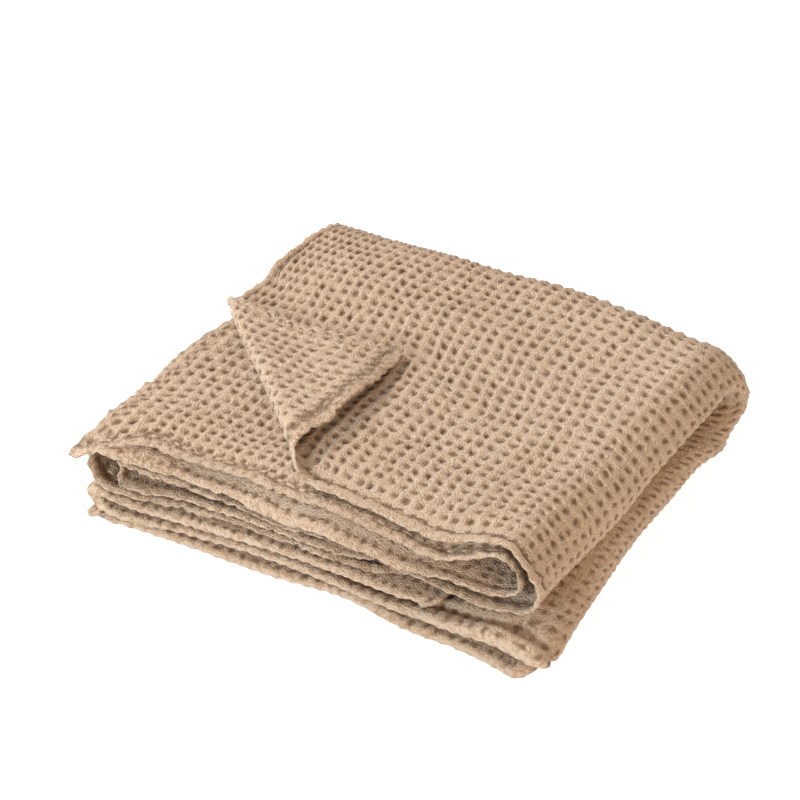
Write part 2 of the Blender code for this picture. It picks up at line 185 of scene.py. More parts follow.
@dataclass(frozen=True)
class StackForm:
    """The folded stack: carries a place on the flat cloth to its place in the stack."""
    pitch: float = 0.0113
    across: float = 106.0
    along: float = 132.6
    thickness: float = 0.36
    right_fold: tuple[float, float] = (32.3, 41.5)
    left_fold: tuple[float, float] = (72.4, 76.8)
    top_length: float = 24.0
    bend_per_height: float = 2.63
    front_fold_half: float = 0.4
    back_tuck: float = 0.32
    fold_sag: float = 0.35
    origin: tuple[float, float] = (-6.448, -9.389)
    places_x: tuple[float, ...] = (-25.0, -13.0, 0.0, 4.0, 7.0)
    pinch_height: tuple[float, ...] = (3.05, 3.20, 3.50, 3.70, 3.80)
    back_bend_y: tuple[float, ...] = (3.0, 3.5, 3.2, 2.2, 1.4)
    outer: FaceFolds = FaceFolds(
        -25.6, 7.0, 3.6, -23.3, 0.95, 0.8, 0.80,
        {Run.TOP: (5.30, 5.45, 5.60, 5.75, 5.70),
         Run.MIDDLE: (2.90, 1.85, 1.60, 0.95, 0.40),
         Run.BOTTOM: (0.95, 1.10, 0.90, 0.85, 0.85)},
        {Run.TOP: (0.00, 0.00, 0.00, 0.00, 0.00),
         Run.MIDDLE: (1.54, 1.60, 1.85, 2.60, 3.20),
         Run.BOTTOM: (2.30, 2.30, 2.50, 2.60, 2.60)})
    inner: FaceFolds = FaceFolds(
        -24.6, 7.0, 2.15, -23.9, 1.5, 2.2, 0.74,
        {Run.TOP: (4.75, 4.75, 4.80, 4.75, 4.85),
         Run.MIDDLE: (3.60, 3.75, 3.60, 2.40, 1.50),
         Run.BOTTOM: (0.40, 0.50, 0.40, 0.36, 0.36)},
        {Run.TOP: (0.56, 0.58, 0.65, 0.70, 0.75),
         Run.MIDDLE: (1.05, 1.10, 1.28, 1.75, 2.25),
         Run.BOTTOM: (2.74, 2.82, 3.05, 3.10, 3.10)})
    leans: tuple[Lean, ...] = (
        Lean(0.0, 0.0, -0.5), Lean(12.0, 0.3, 1.2), Lean(18.0, 1.7, 2.2),
        Lean(24.0, 2.8, 2.8), Lean(28.0, 2.8, 2.9), Lean(33.0, 2.2, 1.1),
        Lean(39.0, 1.7, 1.5), Lean(50.0, 0.8, 1.3), Lean(66.0, 0.0, 1.2))
    lean_span: tuple[float, float] = (-25.0, 11.0)
    edges: tuple[EdgePlace, ...] = (
        EdgePlace(0.0, -23.2, -25.9, -26.4, 0.25, 0.1, 0.45),
        EdgePlace(3.0, -23.2, -24.5, -26.0, 0.3, 0.2, 0.80),
        EdgePlace(7.0, -23.1, -24.1, -25.6, 0.3, 0.3, 0.75),
        EdgePlace(15.0, -23.0, -24.1, -25.1, 0.3, 0.5, 0.65),
        EdgePlace(20.0, -23.4, -24.5, -24.4, 0.3, 0.7, 0.6),
        EdgePlace(25.0, -23.7, -24.6, -25.0, 0.3, 0.8, 0.8),
        EdgePlace(28.5, -23.7, -24.4, -25.2, 0.3, 1.1, 1.35),
        EdgePlace(32.0, -23.0, -23.6, -25.2, 0.3, 0.4, 0.3),
        EdgePlace(37.0, -23.5, -23.4, -23.9, 0.1, 0.0, 0.0),
        EdgePlace(42.0, -24.2, -24.0, -25.1, 0.2, 0.0, 0.0),
        EdgePlace(48.0, -24.6, -25.3, -24.8, 0.3, 0.1, 1.2),
        EdgePlace(58.0, -24.9, -25.2, -24.6, 0.3, 0.1, 1.5),
        EdgePlace(66.0, -25.0, -24.9, -25.4, 0.3, 0.1, 1.0),
        EdgePlace(72.5, -26.2, -26.4, -26.5, 0.2, 0.0, 0.2),
        EdgePlace(74.5, -25.6, -26.2, -26.1, 0.1, 0.0, 0.0),
        EdgePlace(77.0, -26.3, -26.5, -26.3, 0.2, 0.0, 0.0),
        EdgePlace(84.0, -25.5, -25.7, -25.7, 0.3, 0.0, 0.0),
        EdgePlace(92.0, -25.0, -25.1, -24.9, 0.3, 0.0, 0.0),
        EdgePlace(106.0, -24.9, -25.0, -24.6, 0.3, 0.0, 0.0))
    droop_reach: float = 2.0
    tip_reach: float = 1.9
    tip_out: tuple[float, float, float] = (-2.0, -1.1, -1.9)
    loop_opening: float = 1.8
    loop_from: float = 2.0
    loop_width: float = 6.0
    loop_reach: float = 9.0
    back_rise: float = 0.9
    back_rise_from: float = -14.0
    back_rise_length: float = 15.0
    corner_across: float = 17.8
    corner_along: float = 14.2
    corner_turn: tuple[float, float] = (0.834, 0.551)
    roll_at_selvedge: float = 0.32
    roll_at_hem: float = 0.85
    corner_rest: float = 0.52
    hem_lift: float = 1.0
    hem_lift_reach: float = 3.5
    hem_lift_at: float = 3.6
    hem_lift_width: float = 3.6
    hem_bow: tuple[float, float] = (1.6, -0.6)
    hem_bow_reach: float = 5.5
    hem_bow_length: float = 12.0
    roll_reach: float = 2.5
    swells: tuple[Swell, ...] = (
        Swell(0.14, 0.31, 0.17, 0.8), Swell(0.10, -0.12, 0.43, 0.0), Swell(0.07, 0.71, -0.36, 2.1))
    swell_depth: float = 4.0
    row_slips: tuple[RowSlip, ...] = (
        RowSlip(0.0, 0.0, 0.0), RowSlip(6.3, -0.9, -1.9), RowSlip(14.0, -1.8, -2.4),
        RowSlip(22.0, -2.0, -2.5), RowSlip(26.5, -2.5, -2.5), RowSlip(45.0, -1.6, -1.6),
        RowSlip(66.3, 0.0, 0.0))
    skews: tuple[Skew, ...] = (
        Skew(0.0, 0.0), Skew(3.0, 0.35), Skew(6.0, 0.70), Skew(10.0, 1.0), Skew(30.0, 1.0),
        Skew(36.0, 0.55), Skew(42.0, 0.0), Skew(106.0, 0.0))
    skew_back: float = 2.6
    skew_back_from: tuple[float, float] = (9.0, 21.0)
    skew_back_until: tuple[float, float] = (30.0, 50.0)
    skew_front: float = 1.4
    skew_front_length: float = 6.0
    pulls: tuple[Pull, ...] = (
        Pull(38.5, 33.8, 5.0, 3.0, 1.4, 0.0, 0.0), Pull(38.5, 51.0, 5.0, 8.0, -0.4, 0.0, 0.0),
        Pull(38.6, 66.3, 2.6, 3.0, 0.5, -1.3, 0.0), Pull(29.5, 66.3, 3.0, 2.0, 0.0, 0.4, 0.0),
        Pull(36.4, 66.3, 0.6, 1.5, -0.5, 2.0, 0.2), Pull(34.3, 66.3, 1.3, 2.0, 0.3, -0.9, 0.0),
        Pull(75.5, 67.0, 2.0, 5.0, -0.4, 0.0, 0.0), Pull(0.0, 130.6, 3.0, 2.0, -0.3, 0.0, 0.35),
        Pull(0.0, 66.3, 2.0, 4.0, -0.4, 0.0, -0.1), Pull(105.5, 0.0, 3.0, 3.0, -0.6, 1.7, 0.0),
        Pull(105.5, 132.6, 3.0, 3.0, -0.6, 1.7, 0.0),
        Pull(2.0, 22.0, 8.0, 4.5, -0.7, 0.0, 0.45), Pull(0.0, 16.5, 4.0, 2.5, 0.1, 0.0, -0.35),
        Pull(17.0, 26.5, 9.0, 3.5, 0.0, 0.0, 0.45), Pull(0.0, 0.0, 4.0, 4.0, 0.3, 0.8, 0.0),
        Pull(37.0, 24.0, 3.0, 3.0, -0.3, 0.0, -0.2), Pull(39.2, 18.0, 2.4, 8.0, -0.8, 0.0, 1.0),
        Pull(39.8, 43.0, 2.2, 11.0, 0.1, 0.0, 0.8), Pull(41.0, 54.0, 2.2, 6.5, 0.4, 0.0, 0.8),
        Pull(74.6, 0.0, 2.6, 4.0, 1.2, 0.0, 0.0), Pull(57.0, 130.9, 11.0, 1.3, 0.0, -0.15, 0.33))
    creases: tuple[Crease, ...] = (
        Crease((54.0, 65.2), (41.0, 64.5), 0.45, (0.0, 0.0, -0.3), (-0.1, 0.1, -0.7)),
        Crease((41.0, 64.5), (36.5, 66.2), 0.35, (-0.1, 0.1, -0.7), (-0.6, 0.6, 0.1)))

    @property
    def face_length(self) -> float:
        """Cells from a face's hem to the fold that joins the two faces."""
        return self.along / 2 - self.front_fold_half

    def height_at(self, values: Sequence[float], x: Array) -> Array:
        """One of the tables of heights, read at the places x across the stack."""
        return through(self.places_x, values, x)

    def edge(self, name: str, s: Array) -> Array:
        """One named column of the table of front edges, for places s across the cloth."""
        return through([row.across for row in self.edges],
                       [getattr(row, name) for row in self.edges], s)

    def lean(self, x: Array, along: Array) -> Array:
        """How far a point at this x leans to the right."""
        first, last = self.lean_span
        part = np.clip((x - first) / (last - first), 0.0, 1.0)
        places = [row.along for row in self.leans]
        left = through(places, [row.left for row in self.leans], along)
        right = through(places, [row.right for row in self.leans], along)
        return left * (1.0 - part) + right * part

    def unevenness(self, x: Array, y: Array) -> Array:
        """The low swells of the stack's top, in cells."""
        return sum(swell.height * np.sin(swell.per_x * x + swell.per_y * y + swell.phase)
                   for swell in self.swells)

    def across_stack(self, s: Array, face: FaceFolds) -> tuple[Array, Array, Array]:
        """Section of one face across the stack.

        Args:
            s: places across the cloth.
            face: the outer or the inner face.

        Returns:
            x, the height over the pinch and the height over the ply on the floor.
        """
        right_start, right_end = self.right_fold
        left_start, left_end = self.left_fold
        run_1 = face.left_edge + s / right_start * (face.right_turn - face.left_edge)
        run_2 = face.right_turn + (s - right_end) / (left_start - right_end) * (
            face.left_turn - face.right_turn)
        run_3 = face.left_turn + (s - left_end) / (self.across - left_end) * (
            face.tucked_edge - face.left_turn)
        right_angle = math.pi * np.clip((s - right_start) / (right_end - right_start), 0.0, 1.0)
        left_angle = math.pi * np.clip((s - left_start) / (left_end - left_start), 0.0, 1.0)
        sagging = right_angle - self.fold_sag * np.sin(right_angle)
        zones = [s < right_start, s < right_end, s < left_start, s < left_end]
        x = np.select(zones, [run_1, face.right_turn + face.right_bulge * np.sin(sagging), run_2,
                              face.left_turn - face.left_bulge * np.sin(left_angle)], run_3)
        turn = np.array([face.left_turn])
        found = []
        for table in (face.heights, face.low_heights):
            right = self.between(table[Run.TOP][-1], table[Run.MIDDLE][-1], right_angle)
            left = self.between(self.height_at(table[Run.MIDDLE], turn)[0],
                                self.height_at(table[Run.BOTTOM], turn)[0], left_angle)
            found.append(np.select(
                zones, [self.height_at(table[Run.TOP], run_1), right,
                        self.height_at(table[Run.MIDDLE], run_2), left],
                self.height_at(table[Run.BOTTOM], run_3)))
        return x, found[0], found[1]

    @staticmethod
    def between(start: float, end: float, angle: Array) -> Array:
        """Height on a round fold from one level to another, as its angle goes from 0 to pi."""
        return (start + end) / 2 + (start - end) / 2 * np.cos(angle)

    def face_point(self, s: Array, along: Array, outer: bool) -> Array:
        """Points of one face of the doubled cloth.

        Args:
            s: places across the cloth.
            along: the way along it from the face's hem.
            outer: whether it is the outer face.

        Returns:
            Points in cells, in the stack's own lattice.
        """
        face, name = (self.outer, "outer") if outer else (self.inner, "inner")
        x, w, low = self.across_stack(s, face)
        hem_y = self.edge(f"{name}_hem", s)
        droop = self.edge(f"{name}_droop", s)
        bend_y = self.height_at(self.back_bend_y, x)
        edge_y = self.edge("lower_edge", s)

        rightward = smooth_step((x - self.loop_from) / self.loop_width)
        opening = self.loop_opening * rightward * (1.0 - w / self.outer.heights[Run.TOP][-1])
        bend_end = self.top_length + self.bend_per_height * (w + opening)
        top_part = np.clip(along / self.top_length, 0.0, 1.0)
        turn = math.pi * np.clip((along - self.top_length) / (bend_end - self.top_length), 0.0, 1.0)
        low_part = np.clip((along - bend_end) / (self.face_length - bend_end), 0.0, 1.0)
        slack = (self.face_length - bend_end) / (bend_y - edge_y) - 1.0
        low_way = low_part - slack * low_part ** 2 * (1.0 - low_part)

        middle = (self.top_length + bend_end) / 2
        w = w + opening * np.exp(-((along - middle) / self.loop_reach) ** 2)
        y = np.where(along < self.top_length, hem_y + (bend_y - hem_y) * top_part,
                     bend_y + (edge_y - bend_y) * low_way)
        plain_pinch = self.height_at(self.pinch_height, x)
        pinch = plain_pinch + self.back_rise * rightward * smooth_step(
            (y - self.back_rise_from) / self.back_rise_length)

        up = np.maximum(np.cos(turn), 0.0)
        down = np.maximum(-np.cos(turn), 0.0)
        y = y + (face.back_bulge - self.back_tuck * down) * w * np.sin(turn)
        swell = self.unevenness(x, y) * np.clip(w / self.swell_depth, 0.0, 1.0)
        low_height = low * pinch / plain_pinch
        z = pinch + (w + swell) * up - (pinch - self.thickness / 2 - low_height) * down
        z = z - droop * np.exp(-(along / self.droop_reach) ** 2)
        points = np.stack([x + self.lean(x, along), y, z], axis=-1)
        if not outer:
            tip = np.exp(-(along ** 2 + s ** 2) / self.tip_reach ** 2)
            points = points + np.array(self.tip_out) * tip[:, None]
        return points

    def corner_frame(self, s: Array, along: Array) -> tuple[Array, Array]:
        """Way along the turned corner's fold line (0 to 1) and distance past it."""
        line = math.hypot(self.corner_across, self.corner_along)
        way = (s * self.corner_across
               - (along - self.corner_along) * self.corner_along) / line ** 2
        past = (1.0 - s / self.corner_across - along / self.corner_along) * (
            self.corner_across * self.corner_along / line)
        return way, past

    def turn_corner(self, s: Array, along: Array, points: Array) -> Array:
        """Turns the outer face's front left corner back over the top.

        Args:
            s: places across the cloth.
            along: the way along it from the hem.
            points: the outer face's points before the corner is turned.

        Returns:
            The points with the corner turned.
        """
        way, past = self.corner_frame(s, along)
        held = np.clip(way, 0.0, 1.0)
        foot = self.face_point(held * self.corner_across, (1.0 - held) * self.corner_along, True)
        roll = self.roll_at_selvedge + (self.roll_at_hem - self.roll_at_selvedge) * held
        angle = np.clip(past / roll, 0.0, math.pi)
        back = np.where(past < math.pi * roll, -roll * np.sin(angle), past - math.pi * roll)
        hem_way = np.clip(back / self.hem_bow_length, 0.0, 1.0)
        bow = np.exp(-(along / self.hem_bow_reach) ** 2) * np.sin(math.pi * hem_way)
        x = foot[:, 0] + self.corner_turn[0] * back + self.hem_bow[0] * bow
        y = foot[:, 1] + self.corner_turn[1] * back + self.hem_bow[1] * bow
        ground = self.top_height(x, y) - self.top_height(foot[:, 0], foot[:, 1])
        lift = self.hem_lift * np.exp(-(along / self.hem_lift_reach) ** 2)
        settled = self.corner_rest + lift * np.exp(
            -((back - self.hem_lift_at) / self.hem_lift_width) ** 2)
        flattened = np.exp(-(np.maximum(back, 0.0) / self.roll_reach) ** 2)
        lying = settled + (2.0 * roll - settled) * flattened
        height = np.where(angle < math.pi, roll * (1.0 - np.cos(angle)), lying)
        turned = np.stack([x, y, foot[:, 2] + np.where(back > 0.0, ground, 0.0) + height], axis=-1)
        return np.where((past > 0.0)[:, None], turned, points)

    def top_height(self, x: Array, y: Array) -> Array:
        """Height of the top ply over a place in plan."""
        hem_y = self.edges[0].outer_hem
        along = (y - hem_y) * self.top_length / (self.back_bend_y[0] - hem_y)
        plain_x = x - self.lean(x, along)
        return (self.height_at(self.pinch_height, plain_x)
                + self.height_at(self.outer.heights[Run.TOP], plain_x)
                + self.unevenness(plain_x, y))

    def place(self, s: Array, v: Array) -> Array:
        """Places in metres of the middle of the cloth.

        Args:
            s: cells across the cloth.
            v: cells along it.

        Returns:
            Points in metres, in the row frame.
        """
        outer = self.face_point(s, np.minimum(v, self.face_length), True)
        outer = self.turn_corner(s, v, outer)
        inner = self.face_point(s, np.minimum(self.along - v, self.face_length), False)
        angle = math.pi * np.clip((v - self.face_length) / (2.0 * self.front_fold_half), 0.0, 1.0)
        joined = (outer + inner) / 2 + (outer - inner) / 2 * np.cos(angle)[:, None]
        joined[:, 1] -= self.edge("lower_round", s) * np.sin(angle)
        cells = np.where((v < self.face_length)[:, None], outer,
                         np.where((v > self.along - self.face_length)[:, None], inner, joined))
        for pull in self.pulls:
            near = np.exp(-((s - pull.across) / pull.across_reach) ** 2
                          - ((v - pull.along) / pull.along_reach) ** 2)
            cells = cells + near[:, None] * np.array([pull.x, pull.y, pull.z])
        for crease in self.creases:
            cells = cells + crease.push(s, v)
        return (cells - np.array([*self.origin, 0.0])) * self.pitch

    def slip(self, column: Array, row: Array) -> tuple[Array, Array]:
        """Where the weave lies on the folds, as its threads run a little askew to them.

        Args:
            column: cells of the weave across.
            row: cells of the weave along.

        Returns:
            Cells across and cells along the folded cloth.
        """
        from_hem = np.minimum(row, self.along - row)
        outer = row < self.along / 2
        rows = [slip.row for slip in self.row_slips]
        along = from_hem + np.where(
            outer, through(rows, [slip.outer for slip in self.row_slips], from_hem),
            through(rows, [slip.inner for slip in self.row_slips], from_hem))
        start, full = self.skew_back_from
        least, none = self.skew_back_until
        back = self.skew_back * smooth_step((along - start) / (full - start)) * (
            1.0 - smooth_step((along - least) / (none - least)))
        front = self.skew_front * (1.0 - smooth_step(along / self.skew_front_length))
        share = through([skew.column for skew in self.skews],
                        [skew.share for skew in self.skews], column)
        return (column - share * np.where(outer, back, front),
                np.where(outer, along, self.along - along))

    def carry(self, flat: Array, reach: float = 0.12) -> Array:
        """Carries points of the flat cloth into the stack.

        Args:
            flat: points as columns across, rows along and cells out of the cloth's middle.
            reach: how far apart the places that give the cloth's direction are, in cells.

        Returns:
            Points in metres, none of them below the floor.
        """
        column, row, height = flat[:, 0], flat[:, 1], flat[:, 2]
        weft = (self.place(*self.slip(column + reach, row))
                - self.place(*self.slip(column - reach, row)))
        warp = (self.place(*self.slip(column, row + reach))
                - self.place(*self.slip(column, row - reach)))
        outwards = np.cross(weft, warp)
        outwards /= np.maximum(np.linalg.norm(outwards, axis=1, keepdims=True), 1e-12)
        points = self.place(*self.slip(column, row)) + outwards * (height * self.pitch)[:, None]
        points[:, 2] = np.maximum(points[:, 2], 0.0)
        return points


Value = Union[bpy.types.NodeSocket, float, int, tuple, None]


class Wiring:
    """Adds nodes to a tree of shader or geometry nodes and joins them."""

    def __init__(self, tree: bpy.types.NodeTree) -> None:
        """Takes the tree that the nodes go to."""
        self.tree = tree

    def node(self, kind: str, *values: Value, **settings: object) -> bpy.types.Node:
        """Adds a node.

        Args:
            kind: the node's Blender type.
            values: what goes to its inputs in order; None leaves an input as it is.
            settings: properties of the node.

        Returns:
            The node.
        """
        made = self.tree.nodes.new(kind)
        for name, value in settings.items():
            setattr(made, name, value)
        for socket, value in zip([s for s in made.inputs if s.enabled], values):
            self.feed(socket, value)
        return made

    def feed(self, socket: bpy.types.NodeSocket, value: Value) -> None:
        """Links a socket to an input, or sets the input to a value."""
        if isinstance(value, bpy.types.NodeSocket):
            self.tree.links.new(value, socket)
        elif value is not None:
            socket.default_value = value

    def math(self, operation: str, *values: Value) -> bpy.types.NodeSocket:
        """One sum of numbers, by the name of the operation."""
        return self.node("ShaderNodeMath", *values, operation=operation).outputs[0]

    def vector(self, operation: str, *values: Value) -> bpy.types.NodeSocket:
        """One sum of vectors, by the name of the operation."""
        return self.node("ShaderNodeVectorMath", *values, operation=operation).outputs[0]

    def ramp(self, value: Value, low: Value, high: Value, to_low: float = 0.0,
             to_high: float = 1.0) -> bpy.types.NodeSocket:
        """A smooth change from to_low to to_high while value goes from low to high."""
        return self.node("ShaderNodeMapRange", value, low, high, to_low, to_high,
                         interpolation_type="SMOOTHSTEP").outputs[0]

    def noise(self, place: Value, scale: float, detail: float = 0.0,
              colour: bool = False) -> bpy.types.NodeSocket:
        """Soft noise about 0.5, as one number or as three."""
        made = self.node("ShaderNodeTexNoise", place, scale, detail)
        return made.outputs[1 if colour else 0]

    def product(self, *values: Value) -> bpy.types.NodeSocket:
        """The product of several numbers."""
        made = values[0]
        for value in values[1:]:
            made = self.math("MULTIPLY", made, value)
        return made

    def about_half(self, value: Value, size: Value) -> bpy.types.NodeSocket:
        """Turns three numbers about 0.5 into a shift of that size."""
        return self.vector("SCALE", self.vector("SUBTRACT", value, (0.5, 0.5, 0.5)), size)

    def painted(self, name: str, output: str = "Fac") -> bpy.types.NodeSocket:
        """Reads one of the cloth's attributes in a material."""
        return self.node("ShaderNodeAttribute", attribute_name=name).outputs[output]

    def squared_sine(self, value: Value) -> bpy.types.NodeSocket:
        """0 at each whole number and 1 halfway between them."""
        wave = self.math("SINE", self.math("MULTIPLY", value, math.pi))
        return self.math("MULTIPLY", wave, wave)

    def blend(self, share: Value, first: Value, second: Value) -> bpy.types.NodeSocket:
        """Mixes two colours."""
        made = self.node("ShaderNodeMix", data_type="RGBA")
        self.feed(made.inputs[0], share)
        for place, colour in ((6, first), (7, second)):
            full = (*colour, 1.0) if isinstance(colour, tuple) and len(colour) == 3 else colour
            self.feed(made.inputs[place], full)
        return made.outputs[2]


@dataclass(frozen=True)
class CottonFinish:
    """Undyed cotton in a waffle weave, patterned in the cloth's own cells, with painted shade in
    its pits, seam grooves, dents between knobs and low places between yarns.

    Noise scales are for metres. A ramp is where it starts and ends and its values there.
    """
    name: str = "undyed cotton waffle"
    ridge: Colour = (0.70, 0.53, 0.39)
    ground: Colour = (0.50, 0.36, 0.24)
    # painted shade: the colour that the pits and the seam grooves are darkened towards
    pit: Colour = (0.27, 0.165, 0.09)
    patchy: Colour = (0.84, 0.79, 0.73)
    # painted shade: the tint of the dents between knobs and of the low places between yarns
    painted_hollow_shade: Colour = (0.69, 0.58, 0.48)
    thread_scale: float = 150.0
    thread_sway: float = 0.45
    seam_scale: float = 160.0
    patch_scale: float = 14.0
    knob_scale: float = 210.0
    fibre_scale: float = 620.0
    pit_power: float = 0.95
    shallow_fade: float = 0.15
    seam_shade_ramp: Ramp = (0.35, 0.55, 0.5, 1.0)
    pit_shade_ramp: Ramp = (0.15, 1.0, 0.0, 1.0)
    patch_ramp: Ramp = (0.35, 0.70, 0.0, 0.4)
    knob_ramp: Ramp = (0.35, 0.65, 0.0, 0.7)
    dent_shade_ends: tuple[float, float] = (0.55, 0.38)
    low_yarn_shade_ramp: Ramp = (0.1, 0.8, 0.7, 0.0)
    yarns_a_cell: float = 4.0
    yarn_turn: float = 0.25
    yarn_rise: float = 0.15
    fibre_rise: float = 1.6
    fibre_base: float = -0.4
    knobs: float = 1.2
    waffle_smooth: float = 0.8
    bump_strength: float = 0.9
    bump_metres: float = 0.0018
    roughness: float = 0.92
    sheen: float = 0.2
    sheen_roughness: float = 0.5
    specular: float = 0.25

    def material(self) -> bpy.types.Material:
        """The finish as a node material."""
        made = bpy.data.materials.new(self.name)
        made.use_nodes = True
        made.diffuse_color = (*self.ground, 1.0)
        wiring = Wiring(made.node_tree)
        shader = made.node_tree.nodes["Principled BSDF"]
        waffle, shallow, seam = (wiring.painted(name) for name in ("waffle", "shallow", "seam"))
        place = wiring.node("ShaderNodeTexCoord").outputs["Object"]
        sway = wiring.about_half(wiring.noise(place, self.thread_scale, 1.0, True),
                                 self.thread_sway)
        u, v, _ = wiring.node("ShaderNodeSeparateXYZ", wiring.vector(
            "ADD", wiring.painted("weave", "Vector"), sway)).outputs
        over_u, over_v = wiring.squared_sine(u), wiring.squared_sine(v)
        # The pits and the seam grooves get painted shade: hollow is how far they go towards the pit
        # colour, less where the folds make the pits shallow.
        deep = wiring.math("MULTIPLY_ADD", shallow, -self.shallow_fade, 1.0)
        hollow = wiring.product(wiring.math(
            "POWER", wiring.product(over_u, over_v), self.pit_power), waffle, deep)
        uneven = wiring.ramp(wiring.noise(place, self.seam_scale, 1.0), *self.seam_shade_ramp)
        hollow = wiring.math("MAXIMUM", hollow, wiring.product(seam, uneven))

        patches = wiring.noise(place, self.patch_scale, 2.0)
        knobs = wiring.noise(place, self.knob_scale, 1.0)
        fibre = wiring.noise(place, self.fibre_scale, 2.0)
        knobby = wiring.math("MAXIMUM", wiring.math(
            "SUBTRACT", 1.0, wiring.product(waffle, self.waffle_smooth)), shallow)
        height = self.yarn_height(wiring, u, v, over_u, over_v, fibre)
        height = wiring.math("ADD", height, wiring.product(knobs, knobby, self.knobs))
        # Painted shade: the pits and the seam grooves are darkened towards the pit colour.
        colour = wiring.blend(wiring.ramp(hollow, *self.pit_shade_ramp), self.ridge, self.pit)
        # The patchy tints are random tone; the hollow tint is painted shade in the dents between
        # knobs and in the low places between yarns.
        for share, tint in ((wiring.ramp(patches, *self.patch_ramp), self.patchy),
                            (wiring.ramp(knobs, *self.knob_ramp), self.patchy),
                            (wiring.ramp(knobs, *self.dent_shade_ends, 0.0, knobby), self.painted_hollow_shade),
                            (wiring.ramp(height, *self.low_yarn_shade_ramp), self.painted_hollow_shade)):
            colour = wiring.blend(share, colour, wiring.vector("MULTIPLY", colour, tint))
        wiring.feed(shader.inputs["Base Color"], colour)
        bump = wiring.node("ShaderNodeBump")
        wiring.feed(bump.inputs["Height"], height)
        wiring.feed(shader.inputs["Normal"], bump.outputs[0])
        for node, name, value in ((shader, "Roughness", self.roughness),
                                  (shader, "Sheen Weight", self.sheen),
                                  (shader, "Sheen Roughness", self.sheen_roughness),
                                  (shader, "Specular IOR Level", self.specular),
                                  (bump, "Strength", self.bump_strength),
                                  (bump, "Distance", self.bump_metres)):
            node.inputs[name].default_value = value
        return made

    def yarn_height(self, wiring: Wiring, u: Value, v: Value, over_u: Value, over_v: Value,
                    fibre: Value) -> bpy.types.NodeSocket:
        """Height of the yarns, from 0 to 1: floats that run along each ridge; the finish paints
        shade where it is low.

        Args:
            wiring: where the nodes go.
            u: cells across, whole at the ridges.
            v: cells along, whole at the ridges.
            over_u: squared sine of u.
            over_v: squared sine of v.
            fibre: fine noise.

        Returns:
            The height's socket.
        """
        along_ridge = wiring.ramp(wiring.math("SUBTRACT", over_v, over_u),
                                  -self.yarn_turn, self.yarn_turn)
        warp, weft = (wiring.squared_sine(wiring.math("MULTIPLY", way, self.yarns_a_cell))
                      for way in (u, v))
        both = wiring.node("ShaderNodeMix", along_ridge, weft, warp).outputs[0]
        fuzz = wiring.math("MULTIPLY_ADD", fibre, self.fibre_rise, self.fibre_base)
        return wiring.math("MULTIPLY_ADD", both, self.yarn_rise, fuzz)


@dataclass(frozen=True)
class PaperFinish:
    """Matt white paper of the studio floor."""
    name: str = "studio paper"
    tone: Colour = (0.40, 0.40, 0.40)
    shade: float = 0.985
    grain_scale: float = 6.0
    roughness: float = 0.9
    specular: float = 0.1
    glow: float = 0.84

    def material(self) -> bpy.types.Material:
        """The finish as a node material."""
        made = bpy.data.materials.new(self.name)
        made.use_nodes = True
        wiring = Wiring(made.node_tree)
        shader = made.node_tree.nodes["Principled BSDF"]
        grain = wiring.noise(wiring.node("ShaderNodeTexCoord").outputs["Object"],
                             self.grain_scale, 2.0)
        darker = tuple(self.shade * part for part in self.tone)
        wiring.feed(shader.inputs["Base Color"], wiring.blend(grain, self.tone, darker))
        for name, value in (("Roughness", self.roughness), ("Specular IOR Level", self.specular),
                            ("Emission Color", (1.0, 1.0, 1.0, 1.0)),
                            ("Emission Strength", self.glow)):
            shader.inputs[name].default_value = value
        return made


HALF_TO_WHOLE = 2.0     # chance reaches half a unit either way of its middle
NOISE_TO_WHOLE = 4.0    # soft noise reaches about a quarter of a unit either way


